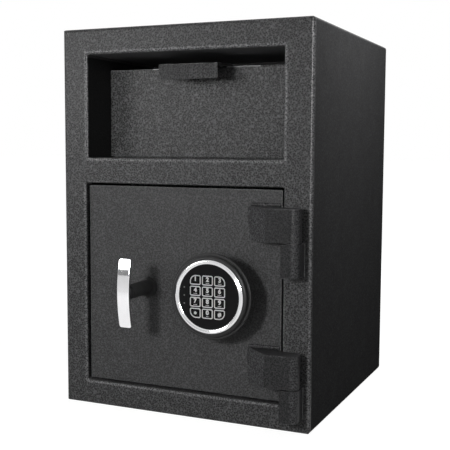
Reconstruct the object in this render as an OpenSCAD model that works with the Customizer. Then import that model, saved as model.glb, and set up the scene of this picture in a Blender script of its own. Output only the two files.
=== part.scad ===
// Front-loading deposit safe: steel cabinet, hopper in a recess at the top, hinged door below
// with a bow handle, a round keypad and sliding bolts behind it.
// Millimetres. Origin at the centre of the footprint, on the floor. +X to the right, +Y to the back.
// Every module draws with y = 0 on the front face of the cabinet: from_front() puts it in place.

/* [Cabinet] */
// Width over the painted steel
body_w = 356; // [330:1:420]
// Depth from the front face to the rear
body_d = 356; // [330:1:440]
// Height
body_h = 510; // [480:1:560]
// Thickness of the steel sheet of the cabinet
sheet_t = 3; // [2:0.5:3.5]
// Outer radius of the folded edges
edge_r = 4.5; // [3.5:0.5:6]
// Width of the front border at the latch side of the door opening
latch_border = 34; // [30:1:40]
// Width of the front border at the hinge side of the door opening
hinge_border = 37; // [35:1:44]
// Height of the front border below the door opening
bottom_rail = 33; // [28:1:40]
// Height of the door opening
door_open_h = 272; // [255:1:285]
// Height of the rail between the door opening and the recess
mid_rail = 34; // [30:1:40]
// Height of the front border above the recess
top_border = 34; // [28:1:40]
// Width of the front border beside the recess
recess_border = 38; // [34:1:44]
// How far the edge of the door opening turns inwards
return_depth = 15; // [13:0.5:16]
// Corner radius of the openings, seen from the front
opening_corner_r = 2.5; // [2:0.5:4]
// Distance between the floor anchor holes, both ways
anchor_pitch = 240; // [200:5:260]
// Diameter of the floor anchor holes
anchor_d = 12; // [8:1:16]
// Thickness of the carpet mat on the floor
mat_t = 3; // [2:0.5:5]
// Diameter of the holes in the mat, over the anchors
mat_hole_d = 30; // [20:1:40]

/* [Recess and hopper] */
// Depth of the recess in front of the hopper panel
recess_depth = 58.5; // [54:0.5:64]
// Thickness of the recess liner
liner_t = 2; // [1.5:0.5:3]
// Gap between the hopper panel and the ceiling of the recess
hopper_top_gap = 16; // [14:0.5:22]
// Gap between the hopper panel and each side of the recess
hopper_side_gap = 1; // [0.8:0.1:2]
// Gap between the hopper panel and the ledge of the recess
hopper_foot_gap = 1.5; // [1:0.5:3]
// Thickness of the hopper panel
panel_t = 2.5; // [2:0.5:3]
// Depth of the flange folded back at the top of the panel
panel_flange = 13.5; // [12:0.5:18]
// Width of the pull tab
tab_w = 85; // [60:1:110]
// How far the pull tab stands out from the panel
tab_reach = 38; // [30:1:44]
// Height of the lip folded down at the front of the tab
tab_lip_h = 20.5; // [14:0.5:26]
// Thickness of the tab
tab_t = 2; // [1.5:0.5:2.5]
// Diameter of the tab rivets
rivet_d = 4; // [3:0.5:5]
// Distance between the tab rivets
rivet_pitch = 28; // [20:1:32]
// Distance of the swing axis behind the front of the panel
pivot_back = 8.5; // [8:0.5:10]
// Height of the swing axis above the ledge
pivot_up = 7; // [6:0.5:9]
// Opening angle of the hopper
hopper_swing = 50; // [45:1:52]
// Length of the sloping tray
tray_len = 118; // [100:1:124]
// Slope of the tray when the hopper is shut
tray_slope = 40; // [36:1:42]
// Thickness of the tray and its cheeks
tray_t = 2; // [1.5:0.5:2.5]
// Height of the flange that joins the tray to the panel
tray_flange = 22; // [16:1:30]
// Depth of the stiffening lip under the end of the tray
tray_lip = 8; // [5:0.5:12]
// Diameter of the trunnions that the hopper swings on
trunnion_d = 8; // [6:0.5:10]
// Diameter of the trunnion bearing rings
bearing_d = 18; // [15:1:24]
// Length of the trunnion bearing rings
bearing_len = 8; // [6:0.5:12]
// Diameter of the bar that the shut tray rests on
rest_bar_d = 8; // [6:0.5:12]
// Distance from the panel to the rest bar, along the tray
rest_bar_reach = 75; // [65:1:80]
// Gap between the end of the tray and the baffle
baffle_gap = 2; // [1.5:0.5:4]
// Width of one saw tooth of the baffle
tooth_w = 12; // [8:1:16]
// Height of the saw teeth
tooth_h = 14; // [8:1:18]
// Diameter of the rubber buffers
buffer_d = 12; // [10:1:16]
// Length of the rubber buffers
buffer_len = 14; // [10:1:18]
// Distance between the rubber buffers
buffer_pitch = 220; // [180:1:240]

/* [Door] */
// Gap all round the door
door_gap = 3; // [2:0.5:4]
// How far the face of the door lies behind the face of the frame
door_inset = 5; // [4:0.5:6]
// Thickness of the door plate
door_t = 6; // [5:0.5:6.5]
// Corner radius of the door, seen from the front
door_corner_r = 2; // [1:0.5:4]
// Rounding of the front edges of the door
door_edge_r = 1.5; // [1:0.5:2.5]
// Length of each door stop
stop_len = 20; // [14:1:26]
// Width of each door stop
stop_w = 10; // [8:0.5:11]

/* [Hinges] */
// Distance of the hinge axis from the side of the cabinet
hinge_in = 21; // [20:0.5:23]
// Distance of the hinge axis in front of the frame
hinge_out = 13; // [13:0.5:15]
// Radius of the hinge knuckles
knuckle_r = 12; // [10:0.5:12]
// Height of the knuckles on the cabinet
knuckle_h = 41; // [34:1:46]
// Height of the leaves on the door
leaf_h = 42; // [36:1:48]
// Level of the top of the upper cabinet knuckle
upper_hinge_z = 238; // [228:1:248]
// Level of the top of the lower cabinet knuckle
lower_hinge_z = 59; // [56:1:66]
// Width of the leaf from the hinge axis to its tip on the door
leaf_w = 62; // [54:1:66]
// Width of the slope at the tip of the leaf
leaf_slope = 32; // [20:1:36]
// Diameter of the hinge pins
hinge_pin_d = 10; // [8:0.5:12]
// How far each pin goes into each half
pin_grip = 33; // [26:1:33]
// Thickness of the thrust washers
washer_t = 1; // [0.5:0.5:2]

/* [Handle] */
// Distance of the handle from the middle of the cabinet, to the left
handle_off = 50.5; // [46:0.5:56]
// Length of the bow
bow_len = 88.5; // [70:0.5:110]
// Width of the bow
bow_w = 17; // [14:0.5:22]
// Thickness of the bow
bow_t = 4.8; // [4:0.2:7]
// How far the middle of the bow stands before its ends
bow_rise = 6; // [3:0.5:10]
// Distance from the frame to the front of the bow
bow_front = 61; // [54:1:66]
// Corner radius of the bow
bow_corner_r = 3; // [1:0.5:5]
// Diameter of the neck behind the bow
neck_d = 19; // [17:0.5:24]
// Diameter of the collar at the door
collar_d = 26; // [24:0.5:32]
// Diameter of the spindle
spindle_d = 12; // [8:0.5:13]
// Turn of the handle between bolts drawn and bolts thrown
handle_turn = 90; // [80:5:95]

/* [Keypad] */
// Distance of the keypad from the middle of the cabinet, to the right
keypad_off = 56; // [54:0.5:58]
// Outer diameter of the bright ring
ring_d = 94; // [90:1:98]
// Inner diameter of the bright ring
ring_in_d = 81; // [79:0.5:83]
// Distance from the frame to the front of the bright ring
ring_front = 35; // [30:1:42]
// Diameter of the flange behind the bright ring
flange_d = 109; // [106:0.5:112]
// Distance from the front of the bright ring to the back of the flange
flange_off = 10; // [8:0.5:12]
// Diameter of the base on the door
base_d = 80; // [80:1:84]
// Thickness of the base
base_t = 6; // [4:0.5:9]
// How far the face lies behind the front of the ring
face_inset = 2; // [1.2:0.2:3]
// Thickness of the face
face_t = 3; // [2.5:0.5:4]
// Width of a key
key_w = 15.2; // [14:0.1:15.4]
// Height of a key
key_h = 12.7; // [11:0.1:12.9]
// Distance between key columns
key_dx = 16.6; // [16.4:0.1:17]
// Distance between key rows
key_dz = 13.9; // [13.7:0.1:14.2]
// Small corner radius of a key
key_r = 2.5; // [1.5:0.5:3]
// Large outer corner radius of the four corner keys
key_big_r = 8.5; // [6:0.5:9]
// Travel of a key
key_travel = 0.8; // [0.5:0.1:1]
// How far a key stands out of the face
key_proud = 1; // [1:0.1:1.4]
// Diameter of the lamps in the face
lamp_d = 2; // [1.5:0.5:3]
// Distance of the lamps from the middle of the face
lamp_off = 33.8; // [33:0.1:36]
// Distance between lamps
lamp_pitch = 10.2; // [8:0.2:12]

/* [Bolt work] */
// Diameter of the bolts
bolt_d = 18; // [14:1:20]
// Throw of the bolts
bolt_throw = 18; // [16:1:20]
// Distance between the bolts
bolt_pitch = 150; // [130:1:160]
// Thickness of the carriage plate
carriage_t = 3; // [2:0.5:3.5]
// Width of the carriage plate
carriage_w = 65; // [62:1:70]
// Thickness of the guide bar for the bolts
guide_t = 6; // [4:0.5:8]
// Diameter of the crank pin on the cam
crank_d = 6; // [4:0.5:7]
// Diameter of the cam
cam_d = 36; // [35:1:42]
// Diameter of the studs that carry the carriage
stud_d = 6; // [5:0.5:7]
// Distance between those studs
stud_pitch = 124; // [112:1:128]
// Travel of the solenoid plunger
plunger_travel = 5; // [4:0.5:6]
// Diameter of the solenoid plunger
plunger_d = 8; // [7:0.5:9]
// Diameter of the solenoid coil
coil_d = 20; // [16:1:22]
// Length of the solenoid coil
coil_len = 34; // [26:1:36]

/* [Inner cover] */
// Depth of the cover over the bolt work
cover_depth = 44; // [42:1:50]
// Thickness of the cover
cover_t = 1.5; // [1:0.5:2]
// Diameter of the cover screws
screw_d = 4; // [3:0.5:5]
// Diameter of a battery
battery_d = 14.2; // [13.5:0.1:14.5]
// Length of a battery
battery_len = 50; // [48:0.5:52]
// Wall of the battery box
box_t = 1.5; // [1:0.5:2]
// Diameter of the reset button
button_d = 8; // [6:0.5:10]
// Travel of the reset button
button_travel = 1.5; // [1:0.5:2]
// Diameter of the keypad cable
cable_d = 3.5; // [2.5:0.5:4]

/* [Hidden] */
$fn = 64;
// Running clearance, radial, of a shaft in its bore
run_fit = 0.05;
// Clearance between pieces that lie side by side
side_fit = 0.25;
// Seat gap between pieces of different bodies
seat_gap = 0.3;
// Clearance of the bolts and the dead bar behind the return of the frame
latch_clear = 1.5;

// Front openings
half_w = body_w / 2;
frame_skirt = 1.5;
frame_depth = edge_r + frame_skirt;
inner_r = max(edge_r - sheet_t, 0.5);
open_l = latch_border - half_w;
open_r = half_w - hinge_border;
open_lo = bottom_rail;
open_hi = open_lo + door_open_h;
recess_x = half_w - recess_border;
recess_lo = open_hi + mid_rail;
recess_hi = body_h - top_border;

// Hopper
panel_x = recess_x - hopper_side_gap;
panel_lo = recess_lo + hopper_foot_gap;
panel_hi = recess_hi - hopper_top_gap;
panel_back = recess_depth + panel_t;
pivot_y = recess_depth + pivot_back;
pivot_z = recess_lo + pivot_up;
ledge_back = recess_depth - hopper_foot_gap;
ledge_flange = 18;
cheek_inset = 1.5;
cheek_x = panel_x - tray_t - cheek_inset;
cheek_r = panel_hi - panel_t - pivot_z - seat_gap;
spacer_wall = 1.5;
spacer_d = trunnion_d + 2 * spacer_wall;
// Start of the tray seen from the swing axis, along the tray and square to it
tray_s0 = (panel_t - pivot_back) * cos(tray_slope) + (pivot_up - hopper_foot_gap) * sin(tray_slope);
tray_n0 = (panel_t - pivot_back) * sin(tray_slope) - (pivot_up - hopper_foot_gap) * cos(tray_slope);
tray_end = tray_s0 + tray_len;
tray_reach = sqrt(pow(tray_end, 2) + pow(tray_n0 - tray_lip, 2));
// The end of the tray when the hopper is open
open_slope = hopper_swing - tray_slope;
tray_open_z = pivot_z + tray_end * sin(open_slope) + (tray_n0 + tray_t) * cos(open_slope);
baffle_t = liner_t;
baffle_y = pivot_y + tray_reach + baffle_gap;
tooth_tip_z = tray_open_z + baffle_gap;
buffer_z = tray_open_z + seat_gap + buffer_d / 2;
tongue_rim = 5;
tongue_w = buffer_d + 2 * tongue_rim;
liner_back = baffle_y + baffle_t;
// Rest bar under the tray
rest_s = tray_s0 + rest_bar_reach;
rest_n = tray_n0 - seat_gap - rest_bar_d / 2;
rest_y = pivot_y + rest_s * cos(tray_slope) + rest_n * sin(tray_slope);
rest_z = pivot_z - rest_s * sin(tray_slope) + rest_n * cos(tray_slope);
chute_lo = rest_z - rest_bar_d;
strap_back = recess_depth + panel_flange - 1;
rivet_y = (panel_back + strap_back) / 2;
rivet_head_h = 1.2;
tab_corner_r = 2;

// Door
door_l = open_l + door_gap;
door_r = open_r - door_gap;
door_lo = open_lo + door_gap;
door_hi = open_hi - door_gap;
door_z = (door_lo + door_hi) / 2;
door_back = door_inset + door_t;
pin_x = half_w - hinge_in;
leaf_back = -hinge_out + knuckle_r;
washer_rim = 3;
washer_d = 2 * (knuckle_r - washer_rim);
// The flat side of the knuckles, from the edge of the door opening
knuckle_in = 6;
leaf_root = 4;
leaf_corner_r = 1.5;
// Dead bar at the hinge side: it has to swing round the back edge of the return
dead_reach = 8;
dead_tip_x = open_r + dead_reach;
return_swing = norm([pin_x - open_r, return_depth + hinge_out]);
dead_y = sqrt(pow(return_swing + latch_clear, 2) - pow(pin_x - dead_tip_x, 2)) - hinge_out;
dead_web_in = 10;
dead_web_x = open_r - dead_web_in;
dead_foot = 15;
dead_end = 34;

// Handle and bolts
handle_x = -handle_off;
bow_r = (pow(bow_len / 2, 2) + pow(bow_rise, 2)) / (2 * bow_rise);
neck_back = door_inset - seat_gap;
cam_y = door_back + seat_gap;
cam_t = 3.7;
cam_gap = 2;
carriage_y = cam_y + cam_t + cam_gap;
crank_r = bolt_throw / 2 / sin(handle_turn / 2);
crank_x = bolt_throw / 2;
crank_z = crank_r * cos(handle_turn / 2);
crank_play = 0.7;
bolt_y = return_depth + latch_clear + bolt_d / 2;
bolt_nose = 1.5;
bolt_tip_in = 3;
bolt_tip_x = door_l + bolt_tip_in;
bolt_rim = 3;
bolt_rim_y = bolt_y + bolt_d / 2 + bolt_rim;
// The bolts are held by spigots, with a clamping collar behind the turned-up edge of the carriage
spigot_d = bolt_d / 3;
clamp_d = spigot_d + 4.5;
clamp_t = 4;
carriage_back = 42;
carriage_l = handle_x - carriage_back;
carriage_end = 11;
carriage_half = bolt_pitch / 2 + carriage_end;
guide_in = 10;
guide_x = door_l + guide_in;
guide_end = 8;
stud_in = 23;
stud_x = carriage_l + stud_in;
stud_head = 3;
stud_rim = 2.5;

// Solenoid under the lug of the carriage
lug_w = 8;
lug_h = 8;
lug_z = door_z - 40;
lug_back = 4;
lock_pin_d = 6;
lock_pin_len = plunger_travel + 6.5;
lock_pin_gap = 1.5;
plunger_off = 18;
plunger_x = carriage_l + carriage_w + plunger_off;
lug_x = plunger_x + bolt_throw / 2;
coil_up = 3;
plunger_y = door_back + coil_up + coil_d / 2;
plunger_tip = lug_z - lock_pin_gap;
plunger_collar = 2;
plunger_foot = 6;
coil_floor = 4;
plate_t = 2;
coil_top = plunger_tip - lock_pin_len;
coil_lo = coil_top - coil_len;
coil_w = coil_d + 2 * plate_t;

// Cover
cover_l = guide_x + guide_t + 0.5;
cover_r = dead_web_x - dead_foot - 3;
cover_rim = 16;
cover_lo = door_lo + cover_rim;
cover_hi = door_hi - cover_rim;
cover_back = door_back + cover_depth;
cover_corner_r = 3;
ear_w = 24;
ear_h = 18;
screw_x = 78;
screw_z = 6;
screw_grip = 4;
screw_head_h = 2.4;
cross_w = 1;
cross_l = 5.2;

// Keypad
keypad_x = keypad_off;
base_front = base_t - door_inset;
ring_r = ring_d / 2;
ring_round = 2.6;
face_front = ring_front - face_inset;
face_back = face_front - face_t;
face_r = ring_in_d / 2 - 0.2;
flange_r = flange_d / 2;
flange_t = 3;
flange_round = 1;
flange_back = ring_front - flange_off;
flange_front = flange_back + flange_t;
shoulder_w = 4;
shoulder_r = ring_r + shoulder_w;
shoulder_sunk = 0.8;
shoulder_front = ring_front - shoulder_sunk;
shoulder_round = 3.7;
bowl_step = 2;
bowl_y = (base_front + flange_back) / 2;
house_seat = 2.3;
house_in = face_r - house_seat;
house_floor = 3;
base_round = 2;
key_cx = keypad_x - 1.4;
key_cz = door_z - 0.4;
key_sunk = 0.5;
key_back = face_back + key_sunk;
board_gap = key_travel + 0.2;
board_t = 1.5;
board_leg_d = 6;
board_leg_in = 5;
lamp_x = keypad_x - lamp_off;

// Battery box and control board, on the inside of the door
battery_n = 4;
contact_l = 6;
contact_room = 17;
button_in = 15;
button_x = cover_r - button_in;
button_off = 9;
box_w = battery_len + contact_room;
box_l = button_x - button_off - box_w;
box_lo = door_z + 24;
box_h = battery_n * (battery_d + 0.55) + 2 * box_t;
box_depth = battery_d + 6;
box_rim = 3;
lid_t = 2;
lid_lap = 3;
ridge_n = 5;
ridge_pitch = 2;
ridge_h = 20;
ridge_in = 12;
button_z = box_lo + 14;
button_head = 2.5;
button_wall = 2.5;
guide_tube_d = button_d + 2 * button_wall;
board_l = keypad_x - 38;
board_lo = cover_lo + 12;
board_w = 66;
board_h = 50;
board_up = 3;
board_leg = 5;
pcb_t = 1.6;
// Left, foot, width, height and thickness of each block on the board
chips = [[12, 14, 16, 16, 2], [44, 8, 10, 16, 6], [31, 32, 8, 5, 3]];
buzzer = [18, 40, 8, 9];
plug_w = 12;
plug_h = 10;
plug_t = 12;
cable_bend = 8;
cable_front = 6;
cable_down_y = door_back + 4 + cable_bend;
cable_hole_d = 14;
grommet_lip = 2;

charcoal = [0.09, 0.09, 0.095];
door_grey = [0.10, 0.10, 0.105];
inner_black = [0.07, 0.07, 0.075];
bright = [0.82, 0.83, 0.85];
plated = [0.70, 0.70, 0.68];
soft_black = [0.05, 0.05, 0.05];

// Placing helpers

module from_front() {
  translate([0, -body_d / 2, 0]) children();
}

// Sketch in x and z, from y0 towards the back
module slab_y(y0, t) {
  translate([0, y0 + t, 0]) rotate([90, 0, 0]) linear_extrude(t) children();
}

// Sketch in y and z, from x0 to the right
module slab_x(x0, t) {
  translate([x0, 0, 0]) rotate([90, 0, 90]) linear_extrude(t) children();
}

// Sketch in x and y, from z0 up
module slab_z(z0, t) {
  translate([0, 0, z0]) linear_extrude(t) children();
}

module rod_x(x0, x1, y, z, d) {
  translate([x0, y, z]) rotate([0, 90, 0]) cylinder(h = x1 - x0, d = d);
}

module rod_y(y0, y1, x, z, d) {
  translate([x, y0, z]) rotate([-90, 0, 0]) cylinder(h = y1 - y0, d = d);
}

module rod_z(z0, z1, x, y, d) {
  translate([x, y, z0]) cylinder(h = z1 - z0, d = d);
}

// Turned piece: the sketch has the radius across and the distance in front of the frame up
module turned(x, z) {
  translate([x, 0, z]) rotate([90, 0, 0]) rotate_extrude() children();
}

module both_sides() {
  children();
  mirror([1, 0, 0]) children();
}

// Flat shapes

module box2(x0, y0, x1, y1) {
  translate([x0, y0]) square([x1 - x0, y1 - y0]);
}

module rounded_rect(x0, y0, x1, y1, r) {
  box2(x0 + r, y0, x1 - r, y1);
  box2(x0, y0 + r, x1, y1 - r);
  for (x = [x0 + r, x1 - r], y = [y0 + r, y1 - r])
    translate([x, y]) circle(r);
}

// What a round of radius r takes off the corner at (x, y), when the solid lies towards (sx, sy)
module corner_cut(x, y, r, sx, sy) {
  difference() {
    translate([x + sx * (r - 1) / 2, y + sy * (r - 1) / 2]) square(r + 1, center = true);
    translate([x + sx * r, y + sy * r]) circle(r);
  }
}

// Rectangle whose two corners at y0 are rounded
module rounded_start(x0, y0, x1, y1, r) {
  difference() {
    box2(x0, y0, x1, y1);
    corner_cut(x0, y0, r, 1, 1);
    corner_cut(x1, y0, r, -1, 1);
  }
}

// The same for a sketch whose first axis is the depth
module rounded_front_side(y0, y1, z0, z1, r) {
  difference() {
    box2(y0, z0, y1, z1);
    corner_cut(y0, z0, r, 1, 1);
    corner_cut(y0, z1, r, 1, -1);
  }
}

// Block with rounded corners seen from the front, and with its front edges rounded
module rounded_slab(x0, z0, x1, z1, y0, t, corner, edge) {
  intersection() {
    slab_y(y0, t) rounded_rect(x0, z0, x1, z1, corner);
    slab_z(z0 - 1, z1 - z0 + 2) rounded_start(x0, y0, x1, y0 + t, edge);
    slab_x(x0 - 1, x1 - x0 + 2) rounded_front_side(y0, y0 + t, z0, z1, edge);
  }
}

// Cutter that rounds the front edge of an opening all the way round
module opening_round(x0, z0, x1, z1, corner, r) {
  slab_x(x0 + corner, x1 - x0 - 2 * corner) {
    corner_cut(0, z1, r, 1, 1);
    corner_cut(0, z0, r, 1, -1);
  }
  slab_z(z0 + corner, z1 - z0 - 2 * corner) {
    corner_cut(x1, 0, r, 1, 1);
    corner_cut(x0, 0, r, -1, 1);
  }
  for (c = [[x1 - corner, z1 - corner, 0], [x0 + corner, z1 - corner, 90],
            [x0 + corner, z0 + corner, 180], [x1 - corner, z0 + corner, 270]])
    translate([c[0], 0, c[1]]) rotate([90, 0, 0]) rotate([0, 0, c[2]])
      rotate_extrude(angle = 90) corner_cut(corner, 0, r, 1, -1);
}

module opening_rect(out = 0) {
  rounded_rect(open_l - out, open_lo - out, open_r + out, open_hi + out, opening_corner_r + out);
}

// Cabinet

module anchor_places() {
  for (x = [-1, 1], y = [-1, 1])
    translate([x * anchor_pitch / 2, body_d / 2 + y * anchor_pitch / 2]) children();
}

module cabinet_wrap() {
  color(charcoal) from_front() difference() {
    slab_y(frame_depth, body_d - frame_depth) difference() {
      rounded_rect(-half_w, 0, half_w, body_h, edge_r);
      rounded_rect(sheet_t - half_w, sheet_t, half_w - sheet_t, body_h - sheet_t, inner_r);
    }
    slab_z(-1, sheet_t + 2) anchor_places() circle(d = anchor_d);
  }
}

module front_frame() {
  color(charcoal) from_front() difference() {
    union() {
      difference() {
        rounded_slab(-half_w, 0, half_w, body_h, 0, frame_depth, edge_r, edge_r);
        slab_y(sheet_t, frame_depth)
          rounded_rect(sheet_t - half_w, sheet_t, half_w - sheet_t, body_h - sheet_t, inner_r);
      }
      slab_y(1, return_depth - 1) opening_rect(sheet_t);
    }
    slab_y(-1, return_depth + 2) opening_rect();
    slab_y(-1, frame_depth)
      rounded_rect(-recess_x, recess_lo, recess_x, recess_hi, opening_corner_r);
    opening_round(open_l, open_lo, open_r, open_hi, opening_corner_r, edge_r);
    opening_round(-recess_x, recess_lo, recess_x, recess_hi, opening_corner_r, sheet_t);
  }
}

module back_panel() {
  color(charcoal) from_front() slab_y(body_d - sheet_t, sheet_t)
    rounded_rect(sheet_t - half_w, sheet_t, half_w - sheet_t, body_h - sheet_t, inner_r);
}

module liner_side() {
  difference() {
    polygon([
      [sheet_t, recess_lo - liner_t], [ledge_back, recess_lo - liner_t],
      [rest_y - 2 * rest_bar_d, chute_lo], [liner_back, chute_lo],
      [liner_back, recess_hi + liner_t], [sheet_t, recess_hi + liner_t]
    ]);
    translate([pivot_y, pivot_z]) circle(d = trunnion_d + 1);
  }
}

module recess_liner() {
  color(charcoal) from_front() {
    both_sides() slab_x(recess_x, liner_t) liner_side();
    slab_z(recess_hi, liner_t) box2(-recess_x - 1, sheet_t, recess_x + 1, liner_back);
    slab_x(-recess_x - 1, 2 * recess_x + 2) {
      box2(sheet_t, recess_lo - liner_t, ledge_back, recess_lo);
      box2(ledge_back - liner_t, recess_lo - ledge_flange, ledge_back, recess_lo);
    }
  }
}

module anti_fishing_baffle() {
  teeth_half = buffer_pitch / 2 - tongue_w / 2;
  teeth = floor(2 * teeth_half / tooth_w);
  color(inner_black) from_front() slab_y(baffle_y, baffle_t) {
    box2(-recess_x, tooth_tip_z + tooth_h, recess_x, recess_hi);
    for (i = [0:teeth - 1]) {
      x = (i - teeth / 2) * tooth_w;
      polygon([
        [x, tooth_tip_z + tooth_h + 1], [x, tooth_tip_z + tooth_h], [x + tooth_w / 2, tooth_tip_z],
        [x + tooth_w, tooth_tip_z + tooth_h], [x + tooth_w, tooth_tip_z + tooth_h + 1]
      ]);
    }
    for (s = [-1, 1])
      translate([s * buffer_pitch / 2 - tongue_w / 2, tray_open_z + seat_gap])
        square([tongue_w, tooth_h + 4]);
  }
}

module hopper_stop_buffers() {
  color(soft_black) from_front() both_sides()
    rod_y(baffle_y - buffer_len, baffle_y, buffer_pitch / 2, buffer_z, buffer_d);
}

module hopper_rest_bar() {
  color(plated) from_front() rod_x(-recess_x, recess_x, rest_y, rest_z, rest_bar_d);
}

module trunnion_bearings() {
  color(plated) from_front() both_sides() difference() {
    rod_x(recess_x + liner_t, recess_x + liner_t + bearing_len, pivot_y, pivot_z, bearing_d);
    rod_x(recess_x, recess_x + liner_t + bearing_len + 1, pivot_y, pivot_z,
      trunnion_d + 2 * run_fit);
  }
}

module door_stops() {
  color(charcoal) from_front() slab_y(door_back + 0.5, sheet_t)
    for (z = [door_lo + 5, door_hi - 5 - stop_len])
      box2(open_l, z, open_l + stop_w, z + stop_len);
}

// Hinges

module hinge_levels() {
  for (z = [lower_hinge_z, upper_hinge_z])
    translate([0, 0, z]) children();
}

module knuckle_plan() {
  left = open_r + knuckle_in;
  box2(left, -hinge_out - knuckle_r, pin_x, 0);
  box2(left, -hinge_out, pin_x + knuckle_r, 0);
  translate([pin_x, -hinge_out]) circle(knuckle_r);
}

module body_hinge_knuckles() {
  color(charcoal) from_front() hinge_levels() difference() {
    intersection() {
      slab_z(-knuckle_h, knuckle_h) knuckle_plan();
      slab_y(-hinge_out - knuckle_r - 1, hinge_out + knuckle_r + 2)
        rounded_start(0, -knuckle_h, pin_x + knuckle_r, 0, 2);
      slab_x(0, half_w) rounded_front_side(-hinge_out - knuckle_r, 1, -knuckle_h, 0, 1);
    }
    rod_z(-pin_grip, 1, pin_x, -hinge_out, hinge_pin_d);
  }
}

module hinge_pins() {
  color(plated) from_front() hinge_levels()
    rod_z(-pin_grip, pin_grip, pin_x, -hinge_out, hinge_pin_d);
}

module hinge_washers() {
  color(plated) from_front() hinge_levels() difference() {
    rod_z(0, washer_t, pin_x, -hinge_out, washer_d);
    rod_z(-1, washer_t + 1, pin_x, -hinge_out, hinge_pin_d);
  }
}

module leaf_plan() {
  front = -hinge_out - knuckle_r;
  tip = pin_x - leaf_w;
  polygon([
    [tip, door_inset], [tip, door_inset - 2], [tip + leaf_slope, front], [pin_x, front],
    [pin_x, leaf_back], [door_r - leaf_root, leaf_back], [door_r - leaf_root, door_inset]
  ]);
  translate([pin_x, -hinge_out]) circle(knuckle_r);
}

module door_hinge_leaves() {
  color(door_grey) from_front() hinge_levels() translate([0, 0, washer_t]) difference() {
    intersection() {
      slab_z(0, leaf_h) leaf_plan();
      slab_y(-hinge_out - knuckle_r - 1, hinge_out + knuckle_r + door_back)
        rounded_rect(pin_x - leaf_w, 0, pin_x + knuckle_r, leaf_h, leaf_corner_r);
      slab_x(0, half_w)
        rounded_front_side(-hinge_out - knuckle_r, door_inset, 0, leaf_h, leaf_corner_r);
    }
    rod_z(-1, pin_grip, pin_x, -hinge_out, hinge_pin_d + 2 * run_fit);
  }
}

module floor_mat() {
  color([0.12, 0.12, 0.13]) from_front() slab_z(sheet_t, mat_t) difference() {
    box2(sheet_t + 2 - half_w, return_depth + 3, half_w - sheet_t - 2, body_d - sheet_t - 2);
    anchor_places() circle(d = mat_hole_d);
  }
}

// Hopper

module hopper_panel() {
  color(charcoal) from_front() difference() {
    slab_x(-panel_x, 2 * panel_x) difference() {
      union() {
        box2(recess_depth, panel_lo, panel_back, panel_hi);
        box2(recess_depth, panel_hi - panel_t, recess_depth + panel_flange, panel_hi);
      }
      corner_cut(recess_depth, panel_hi, panel_t, 1, -1);
    }
    rivet_places() rod_z(panel_hi - panel_t - 1, panel_hi + 1, 0, 0, rivet_d + 0.1);
  }
}

module rivet_places() {
  for (i = [-1:1])
    translate([i * rivet_pitch, rivet_y, 0]) children();
}

module hopper_pull_tab() {
  front = recess_depth - tab_reach;
  top = panel_hi + tab_t;
  color(charcoal) from_front() difference() {
    intersection() {
      slab_x(-tab_w / 2, tab_w) difference() {
        union() {
          box2(front, panel_hi, strap_back, top);
          box2(front, top - tab_lip_h, front + tab_t, top);
        }
        corner_cut(front, top, tab_t + 0.5, 1, -1);
      }
      slab_y(front - 1, body_d / 2)
        rounded_start(-tab_w / 2, top - tab_lip_h, tab_w / 2, top + 1, tab_corner_r);
    }
    rivet_places() rod_z(panel_hi - 1, top + 1, 0, 0, rivet_d + 0.1);
  }
}

module tab_rivets() {
  top = panel_hi + tab_t;
  color(plated) from_front() rivet_places() {
    rod_z(panel_hi - panel_t - rivet_head_h, top + rivet_head_h, 0, 0, rivet_d);
    rod_z(top, top + rivet_head_h, 0, 0, 1.7 * rivet_d);
    rod_z(panel_hi - panel_t - rivet_head_h, panel_hi - panel_t, 0, 0, 1.4 * rivet_d);
  }
}

module hopper_tray() {
  color(charcoal) from_front() slab_x(-cheek_x, 2 * cheek_x) {
    box2(panel_back, panel_lo, panel_back + tray_t, panel_lo + tray_flange);
    translate([panel_back, panel_lo]) rotate(-tray_slope) {
      square([tray_len, tray_t]);
      box2(tray_len - tray_t, -tray_lip, tray_len, tray_t);
    }
  }
}

module hopper_cheeks() {
  far = 2 * cheek_r;
  color(charcoal) from_front() both_sides() slab_x(cheek_x, tray_t) difference() {
    intersection() {
      translate([pivot_y, pivot_z]) circle(cheek_r);
      polygon([
        [panel_back, panel_lo],
        [panel_back + far * cos(tray_slope), panel_lo - far * sin(tray_slope)],
        [panel_back + 2 * far, panel_hi + far], [panel_back, panel_hi + far]
      ]);
    }
    translate([pivot_y, pivot_z]) circle(d = trunnion_d);
  }
}

module hopper_trunnions() {
  color(plated) from_front() both_sides() {
    rod_x(cheek_x, recess_x + liner_t + bearing_len, pivot_y, pivot_z, trunnion_d);
    rod_x(cheek_x + tray_t, recess_x - seat_gap, pivot_y, pivot_z, spacer_d);
  }
}

// Door

module screw_places() {
  for (x = [-screw_x, screw_x], z = [cover_lo - screw_z, cover_hi + screw_z])
    translate([x, 0, z]) children();
}

module door_plate() {
  color(door_grey) from_front() difference() {
    rounded_slab(door_l, door_lo, door_r, door_hi, door_inset, door_t, door_corner_r, door_edge_r);
    rod_y(0, door_back + 1, handle_x, door_z, spindle_d + 2 * run_fit);
    rod_y(0, door_back + 1, keypad_x, door_z, cable_hole_d);
    screw_places() rod_y(door_back - screw_grip, door_back + 1, 0, 0, screw_d);
    stud_places() rod_y(door_back - screw_grip, door_back + 1, 0, 0, stud_d);
  }
}

module dead_bar() {
  color(plated) from_front() slab_z(door_lo + dead_end, door_hi - door_lo - 2 * dead_end) {
    box2(dead_web_x - dead_foot, door_back, dead_web_x, door_back + sheet_t);
    box2(dead_web_x - sheet_t, door_back, dead_web_x, dead_y + sheet_t);
    box2(dead_web_x - sheet_t, dead_y, dead_tip_x, dead_y + sheet_t);
  }
}

module bolt_places() {
  for (s = [-1, 1])
    translate([0, 0, door_z + s * bolt_pitch / 2]) children();
}

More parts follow.
